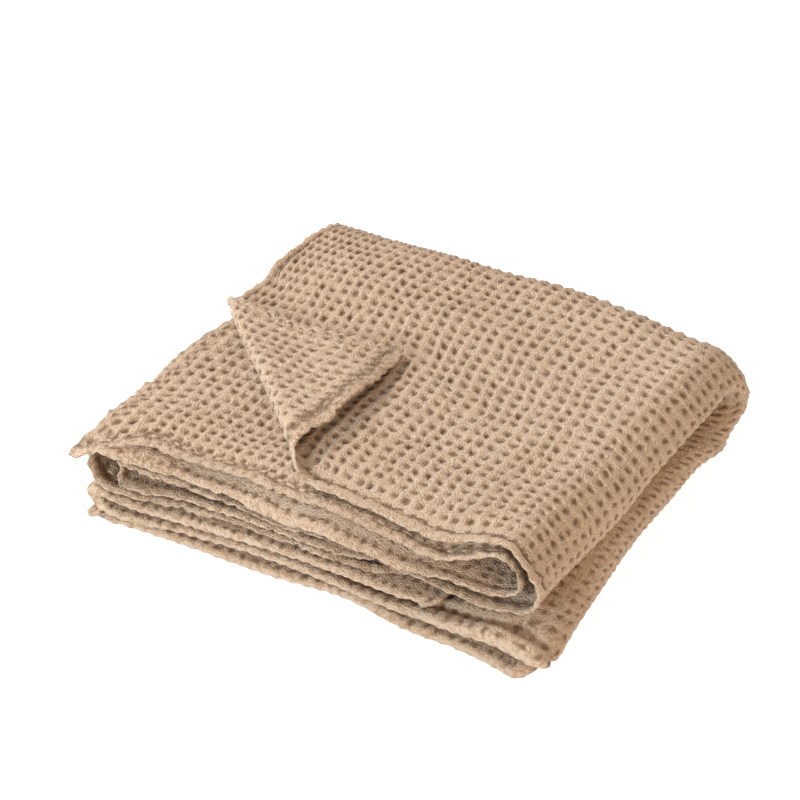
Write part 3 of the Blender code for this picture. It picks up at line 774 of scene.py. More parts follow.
@dataclass(frozen=True)
class WaffleRelief:
    """The node tree that presses the waffle into the flat cloth, with sizes in cells."""
    pit_depth: float = 0.30
    pit_power: float = 0.8
    crossing_lift: float = 0.09
    cross_ridge_sag: float = 0.15
    strand_sag: float = 0.14
    depth_variation: float = 0.4
    pit_shift: float = 0.15
    row_wobble: float = 0.20
    lumps: float = 0.075
    hem_ribs: float = 0.07
    hem_pucker: float = 0.10
    hem_scallop: float = 0.06
    hem_reach: float = 2.2
    hem_lumps: float = 2.6
    calming: float = 0.6
    lump_scale: float = 1.9
    lump_spread: float = 3.0
    sides_apart: float = 9.0
    sway_scale: float = 0.4
    hem_edge: float = 0.1
    wave_scale: float = 0.45
    wave_slip: float = 5.0
    pucker_scale: float = 0.7
    pucker_ramp: Ramp = (0.25, 0.65, 0.3, 1.3)
    seed: int = 7

    def sizes(self) -> dict[str, float]:
        """The tree's sizes, by the names of its inputs."""
        names = ("pit_depth", "pit_power", "crossing_lift", "cross_ridge_sag", "strand_sag",
                 "depth_variation", "pit_shift", "row_wobble", "lumps", "hem_ribs",
                 "hem_pucker", "hem_scallop", "hem_reach")
        return {name.replace("_", " ").capitalize(): getattr(self, name) for name in names}

    def tree(self) -> tuple[bpy.types.NodeTree, dict[str, str]]:
        """Builds the tree.

        Returns:
            The tree, and the identifier of each of its inputs by name.
        """
        tree = bpy.data.node_groups.new("waffle relief", "GeometryNodeTree")
        kinds = {"Geometry": "NodeSocketGeometry", "Cloth": "NodeSocketMaterial",
                 "Seed": "NodeSocketInt"}
        kinds |= {name: "NodeSocketFloat" for name in (*self.sizes(), "Across", "Along")}
        names = {}
        for name, kind in kinds.items():
            socket = tree.interface.new_socket(name, in_out="INPUT", socket_type=kind)
            names[name] = socket.identifier
        tree.interface.new_socket("Geometry", in_out="OUTPUT", socket_type="NodeSocketGeometry")
        wiring = Wiring(tree)
        given = wiring.node("NodeGroupInput").outputs
        weave = self.attribute(wiring, "weave", "FLOAT_VECTOR")
        plain, waffle, strand, shallow = (self.attribute(wiring, name, "FLOAT") for name in (
            "plain", "waffle", "strand", "shallow"))
        u, v, side = wiring.node("ShaderNodeSeparateXYZ", weave).outputs
        here = wiring.node("GeometryNodeInputPosition").outputs[0]
        over_u, over_v = wiring.squared_sine(u), wiring.squared_sine(v)
        on_u, on_v = (wiring.math("SUBTRACT", 1.0, over) for over in (over_u, over_v))
        inside = wiring.product(over_u, over_v)
        cell = wiring.node("ShaderNodeCombineXYZ", wiring.math("FLOOR", u), wiring.math("FLOOR", v),
                           wiring.math("ADD", side, given["Seed"])).outputs[0]
        chance = wiring.node("ShaderNodeTexWhiteNoise", cell, noise_dimensions="3D").outputs
        vary = wiring.product(
            wiring.math("SUBTRACT", 1.0, wiring.product(chance["Value"], given["Depth variation"])),
            wiring.math("SUBTRACT", 1.0, shallow))
        calm = wiring.math("MULTIPLY_ADD", shallow, -self.calming, 1.0)
        hollow = wiring.product(wiring.math("POWER", inside, given["Pit power"]),
                                given["Pit depth"], vary)
        sag_across = wiring.product(over_u, on_v, given["Cross ridge sag"], calm,
                                    wiring.math("SUBTRACT", 1.0, strand))
        sag_along = wiring.product(over_v, on_u, given["Strand sag"], calm, strand)
        relief = wiring.product(on_u, on_v, given["Crossing lift"], calm)
        for lower in (hollow, sag_across, sag_along):
            relief = wiring.math("SUBTRACT", relief, lower)
        height = wiring.math("MULTIPLY_ADD", relief, waffle, plain)
        apart = wiring.node("ShaderNodeCombineXYZ", 0.0, 0.0,
                            wiring.math("MULTIPLY", side, self.sides_apart)).outputs[0]
        lump = wiring.math("SUBTRACT", wiring.noise(
            wiring.vector("ADD", here, apart), self.lump_scale, 1.0), 0.5)
        height = wiring.math("ADD", height, wiring.product(
            lump, given["Lumps"], self.lump_spread, calm, wiring.math(
                "SUBTRACT", self.hem_lumps, wiring.product(waffle, self.hem_lumps - 1.0))))

        at_sides, at_ends = (self.hem_share(wiring, here, given, axis) for axis in (0, 1))
        wave_across, wave_along = (self.hem_wave(wiring, here, axis) for axis in (0, 1))
        ribs = wiring.math("ADD", wiring.product(wiring.math("SUBTRACT", on_u, 0.5), at_ends),
                           wiring.product(wiring.math("SUBTRACT", on_v, 0.5), at_sides))
        height = wiring.math("ADD", height, wiring.product(
            ribs, given["Hem ribs"], wiring.math("SUBTRACT", 1.0, waffle), HALF_TO_WHOLE))
        pucker = wiring.product(wiring.math(
            "ADD", wiring.product(wave_across, at_ends), wiring.product(wave_along, at_sides)),
            given["Hem pucker"], calm)
        scallop = wiring.node(
            "ShaderNodeCombineXYZ", wiring.product(wave_along, at_sides, given["Hem scallop"]),
            wiring.product(wave_across, at_ends, given["Hem scallop"])).outputs[0]

        shift = wiring.about_half(chance["Color"],
                                  wiring.product(inside, given["Pit shift"], HALF_TO_WHOLE))
        sway = wiring.about_half(wiring.noise(here, self.sway_scale, 1.0, True),
                                 wiring.product(given["Row wobble"], NOISE_TO_WHOLE))
        moved = here
        for change in (shift, sway, scallop):
            moved = wiring.vector("ADD", moved, change)
        across, along, _ = wiring.node("ShaderNodeSeparateXYZ", moved).outputs
        target = wiring.node("ShaderNodeCombineXYZ", across, along,
                             wiring.math("MULTIPLY_ADD", side, height, pucker)).outputs[0]
        pressed = wiring.node("GeometryNodeSetPosition", given["Geometry"], None, target)
        whole = wiring.node("GeometryNodeRealizeInstances", pressed.outputs[0])
        dressed = wiring.node("GeometryNodeSetMaterial", whole.outputs[0], None, given["Cloth"])
        wiring.node("NodeGroupOutput", dressed.outputs[0])
        return tree, names

    @staticmethod
    def attribute(wiring: Wiring, name: str, kind: str) -> bpy.types.NodeSocket:
        """Reads a named attribute of the cloth."""
        return wiring.node("GeometryNodeInputNamedAttribute", name, data_type=kind).outputs[0]

    def hem_share(self, wiring: Wiring, here: Value, given: Sequence,
                  axis: int) -> bpy.types.NodeSocket:
        """How near a place is to the two hems that stand at the ends of an axis, from 0 to 1."""
        place = wiring.node("ShaderNodeSeparateXYZ", here).outputs[axis]
        length = given["Across" if axis == 0 else "Along"]
        nearest = wiring.math("MINIMUM", place, wiring.math("SUBTRACT", length, place))
        return wiring.math("SUBTRACT", 1.0, wiring.ramp(nearest, self.hem_edge, given["Hem reach"]))

    def hem_wave(self, wiring: Wiring, here: Value, axis: int) -> bpy.types.NodeSocket:
        """An uneven wave along an axis, one to a cell."""
        place = wiring.node("ShaderNodeSeparateXYZ", here).outputs[axis]
        uneven = wiring.math("MULTIPLY", wiring.noise(here, self.wave_scale, 1.0), self.wave_slip)
        wave = wiring.math("COSINE", wiring.math("MULTIPLY_ADD", place, 2.0 * math.pi, uneven))
        size = wiring.ramp(wiring.noise(here, self.pucker_scale), *self.pucker_ramp)
        return wiring.product(wave, size)

    def press(self, cloth: bpy.types.Object, material: bpy.types.Material,
              size: tuple[float, float]) -> bpy.types.Mesh:
        """Presses the waffle into the flat cloth.

        Args:
            cloth: the flat cloth.
            material: its finish.
            size: its cells across and along.

        Returns:
            The pressed cloth as a plain mesh.
        """
        tree, names = self.tree()
        modifier = cloth.modifiers.new("waffle relief", "NODES")
        modifier.node_group = tree
        for name, value in {**self.sizes(), "Across": size[0], "Along": size[1],
                            "Seed": self.seed, "Cloth": material}.items():
            modifier[names[name]] = value
        graph = bpy.context.evaluated_depsgraph_get()
        mesh = bpy.data.meshes.new_from_object(cloth.evaluated_get(graph))
        cloth.modifiers.clear()
        return mesh


class CellLines(NamedTuple):
    """The lines of the flat cloth one way: its hem's lines and half cells between them."""
    places: Array
    hem_lines: int
    cells: int
    cell: float

    @classmethod
    def spaced(cls, length: float, hem: float, cells: int,
               hem_lines: Sequence[float]) -> "CellLines":
        """Spaces the lines over a length, with a hem at both ends."""
        cell = (length - 2.0 * hem) / cells
        halves = hem + cell / 2 * np.arange(2 * cells + 1)
        edge = np.array(hem_lines) * hem
        places = np.concatenate([edge, halves, (length - edge)[::-1]])
        return cls(places, len(edge), cells, cell)

    def cell_lines(self, side: Side) -> Array:
        """Indices of the lines between this side's cells: the reverse has half a cell more."""
        start = 0 if side is Side.REVERSE else 1
        return self.hem_lines + np.arange(start, 2 * self.cells + 1, 2)


CELL_RIM = ((0, 0), (1, 0), (2, 0), (2, 1), (2, 2), (1, 2), (0, 2), (0, 1))
WHOLE_WIDTH = (0.0, 106.0)
HALF_LENGTH = (0.0, 67.0)


class Zone(NamedTuple):
    """A part of the folded cloth, in cells; outer is its face of the doubled cloth, None both."""
    across: tuple[float, float]
    from_hem: tuple[float, float]
    outer: Optional[bool] = None

    def holds(self, s: Array, v: Array, along: float) -> Array:
        """Whether places on a cloth of that length are in the zone."""
        from_hem = np.minimum(v, along - v)
        inside = ((s > self.across[0]) & (s < self.across[1])
                  & (from_hem > self.from_hem[0]) & (from_hem < self.from_hem[1]))
        return inside if self.outer is None else inside & ((v < along / 2) == self.outer)


@dataclass(frozen=True)
class Flattening:
    """How shallow the folds make the pits, from 0 to 1, and where, in cells."""
    round_start: tuple[float, float] = (3.0, 5.0)
    round_end: float = 2.0
    upper_fold: float = 0.25
    lower_fold: float = 0.8
    lower_from: float = 33.0
    underside: float = 0.6
    underside_start: tuple[float, float] = (4.0, 3.0)
    front: float = 0.85
    front_reach: float = 2.5
    left: float = 0.9
    left_reach: float = 3.5
    shelf: float = 0.6
    shelf_start: tuple[float, float] = (4.0, 1.5)
    shelf_across: tuple[float, float] = (4.0, 76.0)
    turned: float = 0.1
    turned_strand: float = 0.8
    lip: float = 0.85
    lip_width: float = 1.6
    inner_hem: float = 1.0
    inner_hem_width: float = 2.0
    inner_hem_from: float = 66.0


@dataclass
class FlatCloth:
    """The flat cloth as a closed sheet, fine where it shows and coarse where it is hidden."""
    form: StackForm
    selvedge: float = 0.7
    hem: float = 0.95
    cells_across: int = 105
    cells_along: int = 131
    crest: float = 0.13
    hem_lines: tuple[float, ...] = (0.0, 0.12, 0.45, 0.80)
    hem_heights: tuple[float, ...] = (0.0, 0.11, 0.17, 0.14)
    face_dimples: tuple[float, ...] = (0.0, 0.10, 0.50, 0.90)
    reverse_dimples: tuple[float, ...] = (0.0, 0.35, 0.70, 0.35)
    faint_seam: float = 0.25
    seam_height: float = 0.03
    ring_reach: tuple[float, ...] = (0.36, 0.19)
    ring_corner: tuple[float, ...] = (0.30, 0.15)
    nose_across: int = 4
    nose_along: int = 8
    map_gap: float = 2.0
    corner_margin: float = 0.1
    flattening: Flattening = Flattening()
    shown: tuple[tuple[Side, Zone], ...] = (
        (Side.FACE, Zone((0.0, 42.7), (0.0, 39.0), True)),
        (Side.FACE, Zone((32.3, 43.2), HALF_LENGTH, True)),
        (Side.FACE, Zone((42.7, 54.0), (61.5, 67.0), True)),
        (Side.FACE, Zone((70.0, 91.0), (0.0, 2.0), True)),
        (Side.FACE, Zone((37.0, 74.0), (0.0, 2.6), False)),
        (Side.FACE, Zone((71.8, 77.4), HALF_LENGTH, False)),
        (Side.REVERSE, Zone((0.0, 2.2), (22.0, 67.0))),
        (Side.REVERSE, Zone((32.0, 76.0), (0.0, 1.7), True)),
        (Side.REVERSE, Zone((23.0, 41.0), (0.0, 1.8), False)),
        (Side.REVERSE, Zone((72.0, 91.0), (0.0, 1.8), False)))
    bent: tuple[Zone, ...] = (
        Zone((31.3, 42.5), HALF_LENGTH), Zone((70.9, 78.3), HALF_LENGTH),
        Zone(WHOLE_WIDTH, (23.0, 42.0)), Zone(WHOLE_WIDTH, (63.8, 67.0)),
        Zone((0.0, 2.5), HALF_LENGTH), Zone((103.0, 106.0), HALF_LENGTH))
    points: list[Array] = field(default_factory=list)
    faces: list[list[int]] = field(default_factory=list)
    sides: list[Side] = field(default_factory=list)
    count: int = 0

    def __post_init__(self) -> None:
        """Spaces the lines both ways."""
        self.s_lines = CellLines.spaced(self.form.across, self.selvedge, self.cells_across,
                                        self.hem_lines)
        self.v_lines = CellLines.spaced(self.form.along, self.hem, self.cells_along, self.hem_lines)

    def shows(self, side: Side, column: Array, row: Array) -> Array:
        """Whether the waffle of a side shows at places on the flat cloth.

        Args:
            side: the side.
            column: cells across.
            row: cells along.

        Returns:
            True where it is seen from any way round the stack.
        """
        form = self.form
        s, v = self.folded(column, row)
        corner = s / form.corner_across + np.minimum(v, form.along - v) / form.corner_along
        found = np.logical_or.reduce([zone.holds(s, v, form.along)
                                      for on, zone in self.shown if on is side])
        if side is Side.FACE:
            return found & (corner > 1.0 - self.corner_margin)
        return found | (corner < 1.0 + self.corner_margin)

    def bends(self, column: Array, row: Array) -> Array:
        """Whether hidden cloth is bent so much that it keeps a face for each cell."""
        s, v = self.folded(column, row)
        return np.logical_or.reduce([zone.holds(s, v, self.form.along) for zone in self.bent])

    def folded(self, column: Array, row: Array) -> tuple[Array, Array]:
        """Where columns and rows of the weave lie on the folded cloth."""
        s, v = self.form.slip(column.ravel(), row.ravel())
        return s.reshape(column.shape), v.reshape(row.shape)

    def build(self) -> bpy.types.Mesh:
        """Makes the closed flat sheet.

        Returns:
            The mesh, with the attributes that the relief and the finish read.
        """
        rows, columns = len(self.s_lines.places), len(self.v_lines.places)
        grid_s, grid_v = np.meshgrid(self.s_lines.places, self.v_lines.places, indexing="ij")
        lattice = np.arange(rows * columns).reshape(rows, columns)
        rim = np.zeros((rows, columns), bool)
        rim[[0, -1], :] = True
        rim[:, [0, -1]] = True
        values = []
        for side, shift in ((Side.FACE, 0), (Side.REVERSE, rows * columns)):
            ids = np.where(rim, lattice, lattice + shift)
            self.add_points(grid_s.ravel(), grid_v.ravel(), side)
            values.append((side, ids))
        for side, ids in values:
            self.add_side(side, ids)
        return self.as_mesh()

    def add_points(self, s: Array, v: Array, side: Side) -> int:
        """Adds points of one side.

        Args:
            s: cells across.
            v: cells along.
            side: the side that they are on.

        Returns:
            The index of the first one.
        """
        first = self.count
        phase = 0.5 if side is Side.FACE else 0.0
        u = (s - self.selvedge) / self.s_lines.cell + phase
        w = (v - self.hem) / self.v_lines.cell + phase
        self.points.append(np.stack([s, v, *self.profile(s, v, side), u, w,
                                     np.full(len(s), side.value), *self.drawn(s, v)], 1))
        self.count += len(s)
        return first

    def drawn(self, column: Array, row: Array) -> tuple[Array, Array]:
        """How the folds draw the weave, at places on the flat cloth.

        Args:
            column: cells across.
            row: cells along.

        Returns:
            How far it is drawn into strands that run across the cloth, and how much shallower
            its pits are, each from 0 to 1.
        """
        form, flat = self.form, self.flattening
        s, v = form.slip(column, row)
        start, end = form.right_fold
        outer = v < form.along / 2
        before, rise = flat.round_start
        round_fold = smooth_step((s - start + before) / rise) * smooth_step(
            (end + flat.round_end - s) / flat.round_end)
        turned = outer & (s / form.corner_across + v / form.corner_along < 1.0)
        strand = np.where(turned, flat.turned_strand, round_fold * outer)
        left = flat.left * np.exp(-((s - sum(form.left_fold) / 2) / flat.left_reach) ** 2)
        front = np.exp(-((v - form.along / 2) / flat.front_reach) ** 2) * np.maximum(
            flat.front, left)
        before, rise = flat.shelf_start
        margin, last = flat.shelf_across
        shelf = flat.shelf * smooth_step((v - form.along + before) / rise) * (
            (s > end - margin) & (s < last))
        fold = round_fold * np.where(v > flat.lower_from, flat.lower_fold, flat.upper_fold) * outer
        after, rise = flat.underside_start
        under = flat.underside * smooth_step((s - start - after) / rise) * round_fold * outer
        lip = turned * np.where(v < flat.lip_width, flat.lip, flat.turned)
        inner_hems = flat.inner_hem * ((np.minimum(v, form.along - v) < flat.inner_hem_width)
                                       & (s > flat.inner_hem_from))
        return strand, np.maximum.reduce([front, shelf, fold, under, lip, inner_hems])

    def profile(self, s: Array, v: Array, side: Side) -> tuple[Array, Array, Array]:
        """Form of the plain cloth.

        Args:
            s: cells across.
            v: cells along.
            side: the side.

        Returns:
            Its height over its middle in cells, the waffle's share and the seam groove's
            share, both from 0 to 1; the finish uses both for painted shade in the pits and the seam
            groove.
        """
        from_selvedge = np.minimum(s, self.form.across - s) / self.selvedge
        from_hem = np.minimum(v, self.form.along - v) / self.hem
        nearest = np.minimum(from_selvedge, from_hem)
        known = [*self.hem_lines, 1.0, 1.5]
        plain = np.interp(nearest, known, [*self.hem_heights, self.seam_height, self.crest])
        faint = self.faint_seam
        groove = [np.interp(way, [0.35, 0.85, 1.25, 1.7], [0.0, 1.0, 1.0, 0.0])
                  for way in (from_selvedge, from_hem)]
        seam = np.maximum(faint * groove[0], groove[1] * (faint if side is Side.FACE else 1.0))
        edge = 0.5 if side is Side.FACE else 0.0
        inside = ((np.minimum(s, self.form.across - s) > self.selvedge + edge - 1e-6)
                  & (np.minimum(v, self.form.along - v) > self.hem + edge - 1e-6))
        dimples = self.face_dimples if side is Side.FACE else self.reverse_dimples
        on_hem = np.interp(nearest, [*self.hem_lines, 1.0], [*dimples, 1.0])
        return plain, np.where(inside, 1.0, on_hem), seam

    def add_side(self, side: Side, ids: Array) -> None:
        """Adds the faces of one side.

        Args:
            side: the side.
            ids: the point of each crossing of the lines.
        """
        s_cuts, v_cuts = self.s_lines.cell_lines(side), self.v_lines.cell_lines(side)
        self.add_border(side, ids, s_cuts, v_cuts)
        used = np.zeros(ids.shape, bool)
        used[:s_cuts[0] + 1, :] = used[s_cuts[-1]:, :] = True
        used[:, :v_cuts[0] + 1] = used[:, v_cuts[-1]:] = True
        places_s, places_v = self.s_lines.places, self.v_lines.places
        middle_s, middle_v = np.meshgrid(places_s[s_cuts[:-1] + 1], places_v[v_cuts[:-1] + 1],
                                         indexing="ij")
        nose = np.zeros(middle_s.shape, bool)
        if side is Side.FACE:
            first = len(v_cuts) // 2 - 1
            nose[:, first:first + 2] = True
            used[s_cuts[0]:s_cuts[-1] + 1, [[v_cuts[first]], [v_cuts[first + 2]]]] = True
            self.add_nose(ids, s_cuts, v_cuts[first:first + 3])
        full = self.shows(side, middle_s, middle_v) & ~nose
        whole = self.blocks(full | nose | self.bends(middle_s, middle_v))
        fine = np.argwhere(full)
        for i, j in CELL_RIM:
            used[s_cuts[fine[:, 0]] + i, v_cuts[fine[:, 1]] + j] = True
        coarse = []
        for i, j in np.argwhere(~full & ~whole & ~nose):
            coarse.append((s_cuts[i], v_cuts[j], 2))
        for i, j in np.argwhere(whole[::2, ::2]):
            coarse.append((s_cuts[2 * i], v_cuts[2 * j], 4))
        for a, b, size in coarse:
            used[[a, a + size, a, a + size], [b, b, b + size, b + size]] = True
        for a, b, size in coarse:
            self.add_patch(side, ids, used, (a, b), (size, size))
        self.add_fine(side, ids, s_cuts[fine[:, 0]], v_cuts[fine[:, 1]])

    def add_patch(self, side: Side, ids: Array, used: Array, first: tuple[int, int],
                  size: tuple[int, int]) -> None:
        """Adds one face over a patch of a grid, through the points of its rim that are used.

        Args:
            side: the side.
            ids: the point of each crossing of the grid.
            used: which crossings are used.
            first: the patch's first lines across and along.
            size: how many steps it is across and along.
        """
        (a, b), (m, n) = first, size
        walk = ([(a + k, b) for k in range(m)] + [(a + m, b + k) for k in range(n)]
                + [(a + m - k, b + n) for k in range(m)] + [(a, b + n - k) for k in range(n)])
        self.add_face([ids[place] for place in walk if used[place]], side)

    def add_nose(self, ids: Array, s_cuts: Array, v_cuts: Array) -> None:
        """Adds the two rows of cells at the front fold, in steps that are narrow enough to turn.

        Args:
            ids: the point of each crossing of the cloth's lines.
            s_cuts: the cell lines across.
            v_cuts: the three cell lines along that bound the two rows.
        """
        columns = self.nose_across * (len(s_cuts) - 1)
        rows = 2 * self.nose_along
        s = np.linspace(*self.s_lines.places[s_cuts[[0, -1]]], columns + 1)
        v = np.linspace(*self.v_lines.places[v_cuts[[0, -1]]], rows + 1)
        grid_s, grid_v = np.meshgrid(s, v, indexing="ij")
        grid = (self.add_points(grid_s.ravel(), grid_v.ravel(), Side.FACE)
                + np.arange(grid_s.size)).reshape(grid_s.shape)
        half_s, half_v = self.nose_across // 2, self.nose_along // 2
        shared = ids[s_cuts[0]:s_cuts[-1] + 1, v_cuts[0]:v_cuts[-1] + 1]
        used = np.ones(grid.shape, bool)
        used[:, [0, -1]] = used[[0, -1], :] = False
        used[1:half_s, :] = used[-half_s:-1, :] = False
        used[::half_s, [0, -1]] = True
        used[[0, -1], ::half_v] = True
        grid[::half_s, 0], grid[::half_s, -1] = shared[:, 0], shared[:, -1]
        grid[0, ::half_v], grid[-1, ::half_v] = shared[0], shared[-1]
        for a in (0, columns - half_s):
            for b in range(0, rows, half_v):
                self.add_patch(Side.FACE, grid, used, (a, b), (half_s, half_v))
        for a in range(half_s, columns - half_s, half_s):
            for b in (0, rows - 1):
                self.add_patch(Side.FACE, grid, used, (a, b), (half_s, 1))
        for a in range(half_s, columns - half_s):
            for b in range(1, rows - 1):
                self.add_patch(Side.FACE, grid, used, (a, b), (1, 1))

    @staticmethod
    def blocks(kept: Array) -> Array:
        """Which cells go into blocks of four: those where none of the four is kept."""
        whole = np.zeros(kept.shape, bool)
        rows, columns = kept.shape[0] // 2 * 2, kept.shape[1] // 2 * 2
        even = kept[:rows, :columns]
        free = ~(even[::2, ::2] | even[1::2, ::2] | even[::2, 1::2] | even[1::2, 1::2])
        whole[:rows, :columns] = np.repeat(np.repeat(free, 2, 0), 2, 1)
        return whole

    def add_face(self, corners: Sequence[int], side: Side) -> None:
        """Adds one face, turned so that it points out of the cloth."""
        self.faces.append([int(c) for c in (corners if side is Side.FACE else corners[::-1])])
        self.sides.append(side)

    def add_border(self, side: Side, ids: Array, s_cuts: Array, v_cuts: Array) -> None:
        """Adds the plain bands round the waffle.

        Args:
            side: the side.
            ids: the point of each crossing.
            s_cuts: this side's cell lines across.
            v_cuts: its cell lines along.
        """
        rows, columns = ids.shape
        for a in range(rows - 1):
            edge = a < s_cuts[0] or a >= s_cuts[-1]
            whole = range(columns - 1)
            ends = [*range(v_cuts[0]), *range(v_cuts[-1], columns - 1)]
            for b in whole if edge else ends:
                self.add_face([ids[a, b], ids[a + 1, b], ids[a + 1, b + 1], ids[a, b + 1]], side)

    def add_fine(self, side: Side, ids: Array, a: Array, b: Array) -> None:
        """Adds the cells that show, each with two rings round the middle of its pit.

        Args:
            side: the side.
            ids: the point of each crossing.
            a: the cells' first lines across.
            b: their first lines along.
        """
        outline = np.stack([ids[a + i, b + j] for i, j in CELL_RIM], 1)
        centre_s, centre_v = self.s_lines.places[a + 1], self.v_lines.places[b + 1]
        rings = [outline]
        for reach, corner in zip(self.ring_reach, self.ring_corner):
            ring = []
            for i, j in CELL_RIM:
                size = corner if i != 1 and j != 1 else reach
                ring.append(self.add_points(centre_s + (i - 1) * size * self.s_lines.cell,
                                            centre_v + (j - 1) * size * self.v_lines.cell, side)
                            + np.arange(len(a)))
            rings.append(np.stack(ring, 1))
        middle = self.add_points(centre_s, centre_v, side) + np.arange(len(a))
        for outside, within in zip(rings[:-1], rings[1:]):
            for k in range(8):
                n = (k + 1) % 8
                for quad in np.stack([outside[:, k], outside[:, n], within[:, n], within[:, k]], 1):
                    self.add_face(quad, side)
        for k in range(8):
            for triangle in np.stack([rings[-1][:, k], rings[-1][:, (k + 1) % 8], middle], 1):
                self.add_face(triangle, side)

    def as_mesh(self) -> bpy.types.Mesh:
        """Makes the mesh from the points that its faces use."""
        points = np.concatenate(self.points)
        kept = np.zeros(len(points), bool)
        kept[np.concatenate([np.array(face) for face in self.faces])] = True
        new_index = np.cumsum(kept) - 1
        mesh = bpy.data.meshes.new("waffle_blanket")
        flat = points[kept]
        mesh.from_pydata(np.column_stack([flat[:, :2], np.zeros(len(flat))]), [],
                         [[int(new_index[c]) for c in face] for face in self.faces])
        for name, column in (("plain", 2), ("waffle", 3), ("seam", 4), ("strand", 8),
                             ("shallow", 9)):
            layer = mesh.attributes.new(name, "FLOAT", "POINT")
            layer.data.foreach_set("value", flat[:, column].astype(np.float32))
        layer = mesh.attributes.new("weave", "FLOAT_VECTOR", "POINT")
        layer.data.foreach_set("vector", flat[:, 5:8].astype(np.float32).ravel())
        self.add_map(mesh, flat)
        mesh.shade_smooth()
        return mesh

    def add_map(self, mesh: bpy.types.Mesh, flat: Array) -> None:
        """Lays both sides of the flat cloth next to each other in one texture map."""
        whole = 2.0 * self.form.across + 3.0 * self.map_gap
        corners = np.array([c for face in mesh.polygons for c in face.vertices])
        turned = np.repeat([side is Side.REVERSE for side in self.sides],
                           [len(face.vertices) for face in mesh.polygons])
        start = self.map_gap + turned * (self.form.across + self.map_gap)
        places = np.stack([flat[corners, 0] + start, flat[corners, 1] + self.map_gap], 1) / whole
        layer = mesh.uv_layers.new(name="OFBake")
        layer.data.foreach_set("uv", places.astype(np.float32).ravel())


@dataclass
class WaffleBlanket:
    """The blanket itself: one folded sheet with its hems."""
    form: StackForm = field(default_factory=StackForm)
    relief: WaffleRelief = field(default_factory=WaffleRelief)
    finish: CottonFinish = field(default_factory=CottonFinish)

    def build(self) -> bpy.types.Object:
        """Makes, folds and dresses the cloth.

        Returns:
            The blanket, riding on the part's body.
        """
        flat = bpy.data.objects.new("flat cloth", FlatCloth(self.form).build())
        bpy.context.scene.collection.objects.link(flat)
        mesh = self.relief.press(flat, self.finish.material(), (self.form.across, self.form.along))
        bpy.data.objects.remove(flat, do_unlink=True)
        self.fold(mesh)
        mesh.name = "waffle_blanket"
        piece = bpy.data.objects.new("waffle_blanket", mesh)
        bpy.context.scene.collection.objects.link(piece)
        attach(piece, "root")
        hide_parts("blanket")
        return piece

    def fold(self, mesh: bpy.types.Mesh) -> None:
        """Carries the pressed flat cloth into the stack."""
        flat = np.zeros(len(mesh.vertices) * 3)
        mesh.vertices.foreach_get("co", flat)
        folded = self.form.carry(flat.reshape(-1, 3))
        mesh.vertices.foreach_set("co", folded.ravel())
        mesh.update()


@dataclass(frozen=True)
class SoftLight:
    """One large soft lamp: where it stands, what it points at, its size and its light."""
    name: str
    stands: tuple[float, float, float]
    points_at: tuple[float, float, float]
    size: float
    watts: float
    tone: Colour


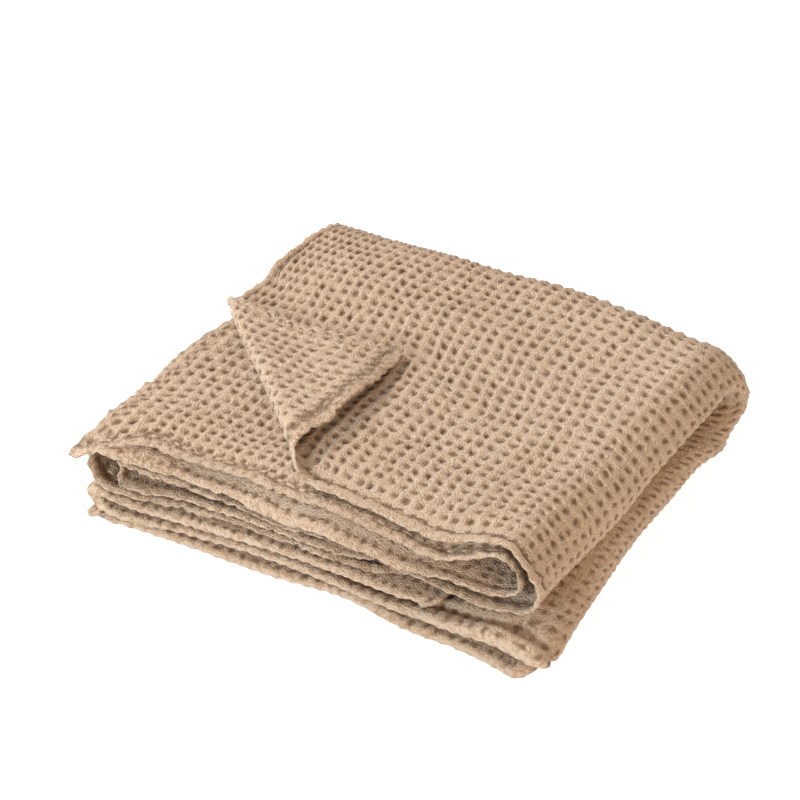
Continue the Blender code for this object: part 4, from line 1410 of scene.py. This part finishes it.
@dataclass(frozen=True)
class Studio:
    """The floor, the lights and the camera."""
    floor_size: float = 12.0
    paper: PaperFinish = PaperFinish()
    fill: float = 0.55
    fill_left: Colour = (1.0, 1.0, 1.0)
    fill_right: Colour = (1.0, 0.86, 0.72)
    lamps: tuple[SoftLight, ...] = (
        SoftLight("key", (-1.7, 0.1, 1.6), (0.0, 0.0, 0.05), 0.6, 42.0, (1.0, 0.98, 0.97)),
        SoftLight("front", (-0.6, -2.2, 0.75), (0.0, -0.2, 0.05), 0.5, 37.0, (0.78, 0.91, 1.0)),
        SoftLight("warm", (1.6, -0.6, 0.8), (0.1, 0.0, 0.05), 1.0, 8.0, (1.0, 0.74, 0.50)),
    )
    camera_place: tuple[float, float, float] = (0.7588, -1.3505, 1.3537)
    camera_turn: tuple[float, float, float] = (50.5, 0.0, 30.2)
    lens: float = 108.0
    sensor: float = 36.0

    def build(self) -> None:
        """Makes the studio."""
        self.add_floor()
        self.add_fill()
        for lamp in self.lamps:
            self.add_lamp(lamp)
        self.add_camera()
        bpy.context.scene.view_settings.view_transform = "Standard"

    def add_floor(self) -> None:
        """Lays the paper."""
        half = self.floor_size / 2
        mesh = bpy.data.meshes.new("studio_floor")
        mesh.from_pydata([(-half, -half, 0.0), (half, -half, 0.0), (half, half, 0.0),
                          (-half, half, 0.0)], [], [(0, 1, 2, 3)])
        mesh.materials.append(self.paper.material())
        floor = bpy.data.objects.new("studio_floor", mesh)
        bpy.context.scene.collection.objects.link(floor)

    def add_fill(self) -> None:
        """Lights the whole room softly, a little warmer from the right."""
        world = bpy.data.worlds.new("studio")
        world.use_nodes = True
        wiring = Wiring(world.node_tree)
        way = wiring.node("ShaderNodeTexCoord").outputs["Generated"]
        rightward = wiring.node("ShaderNodeSeparateXYZ", way).outputs[0]
        tone = wiring.blend(wiring.ramp(rightward, -0.3, 0.8), self.fill_left, self.fill_right)
        background = world.node_tree.nodes["Background"]
        wiring.feed(background.inputs["Color"], tone)
        background.inputs["Strength"].default_value = self.fill
        bpy.context.scene.world = world

    def add_lamp(self, lamp: SoftLight) -> None:
        """Hangs one lamp."""
        light = bpy.data.lights.new(lamp.name, "AREA")
        light.shape = "DISK"
        light.size = lamp.size
        light.energy = lamp.watts
        light.color = lamp.tone
        made = bpy.data.objects.new(lamp.name, light)
        made.location = lamp.stands
        way = np.array(lamp.points_at) - np.array(lamp.stands)
        made.rotation_euler = (math.atan2(math.hypot(way[0], way[1]), -way[2]), 0.0,
                               math.atan2(-way[0], way[1]))
        bpy.context.scene.collection.objects.link(made)

    def add_camera(self) -> None:
        """Sets up the camera at the photograph's angle."""
        data = bpy.data.cameras.new("camera")
        data.lens = self.lens
        data.sensor_width = self.sensor
        camera = bpy.data.objects.new("camera", data)
        camera.location = self.camera_place
        camera.rotation_euler = tuple(math.radians(turn) for turn in self.camera_turn)
        bpy.context.scene.collection.objects.link(camera)
        bpy.context.scene.camera = camera


def report(piece: bpy.types.Object) -> None:
    """Logs how large a piece is."""
    size = ", ".join(f"{1000 * part:.0f}" for part in piece.dimensions)
    piece.data.calc_loop_triangles()
    log.info("%s: %d triangles, %s mm", piece.name, len(piece.data.loop_triangles), size)


def main() -> None:
    """Builds the blanket and the studio, in order."""
    logging.basicConfig(level=logging.INFO, format="%(message)s")
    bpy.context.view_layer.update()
    Studio().build()
    blanket = WaffleBlanket()
    cloth = blanket.build()
    report(cloth)
    bpy.context.view_layer.update()


if __name__ == "__main__":
    main()
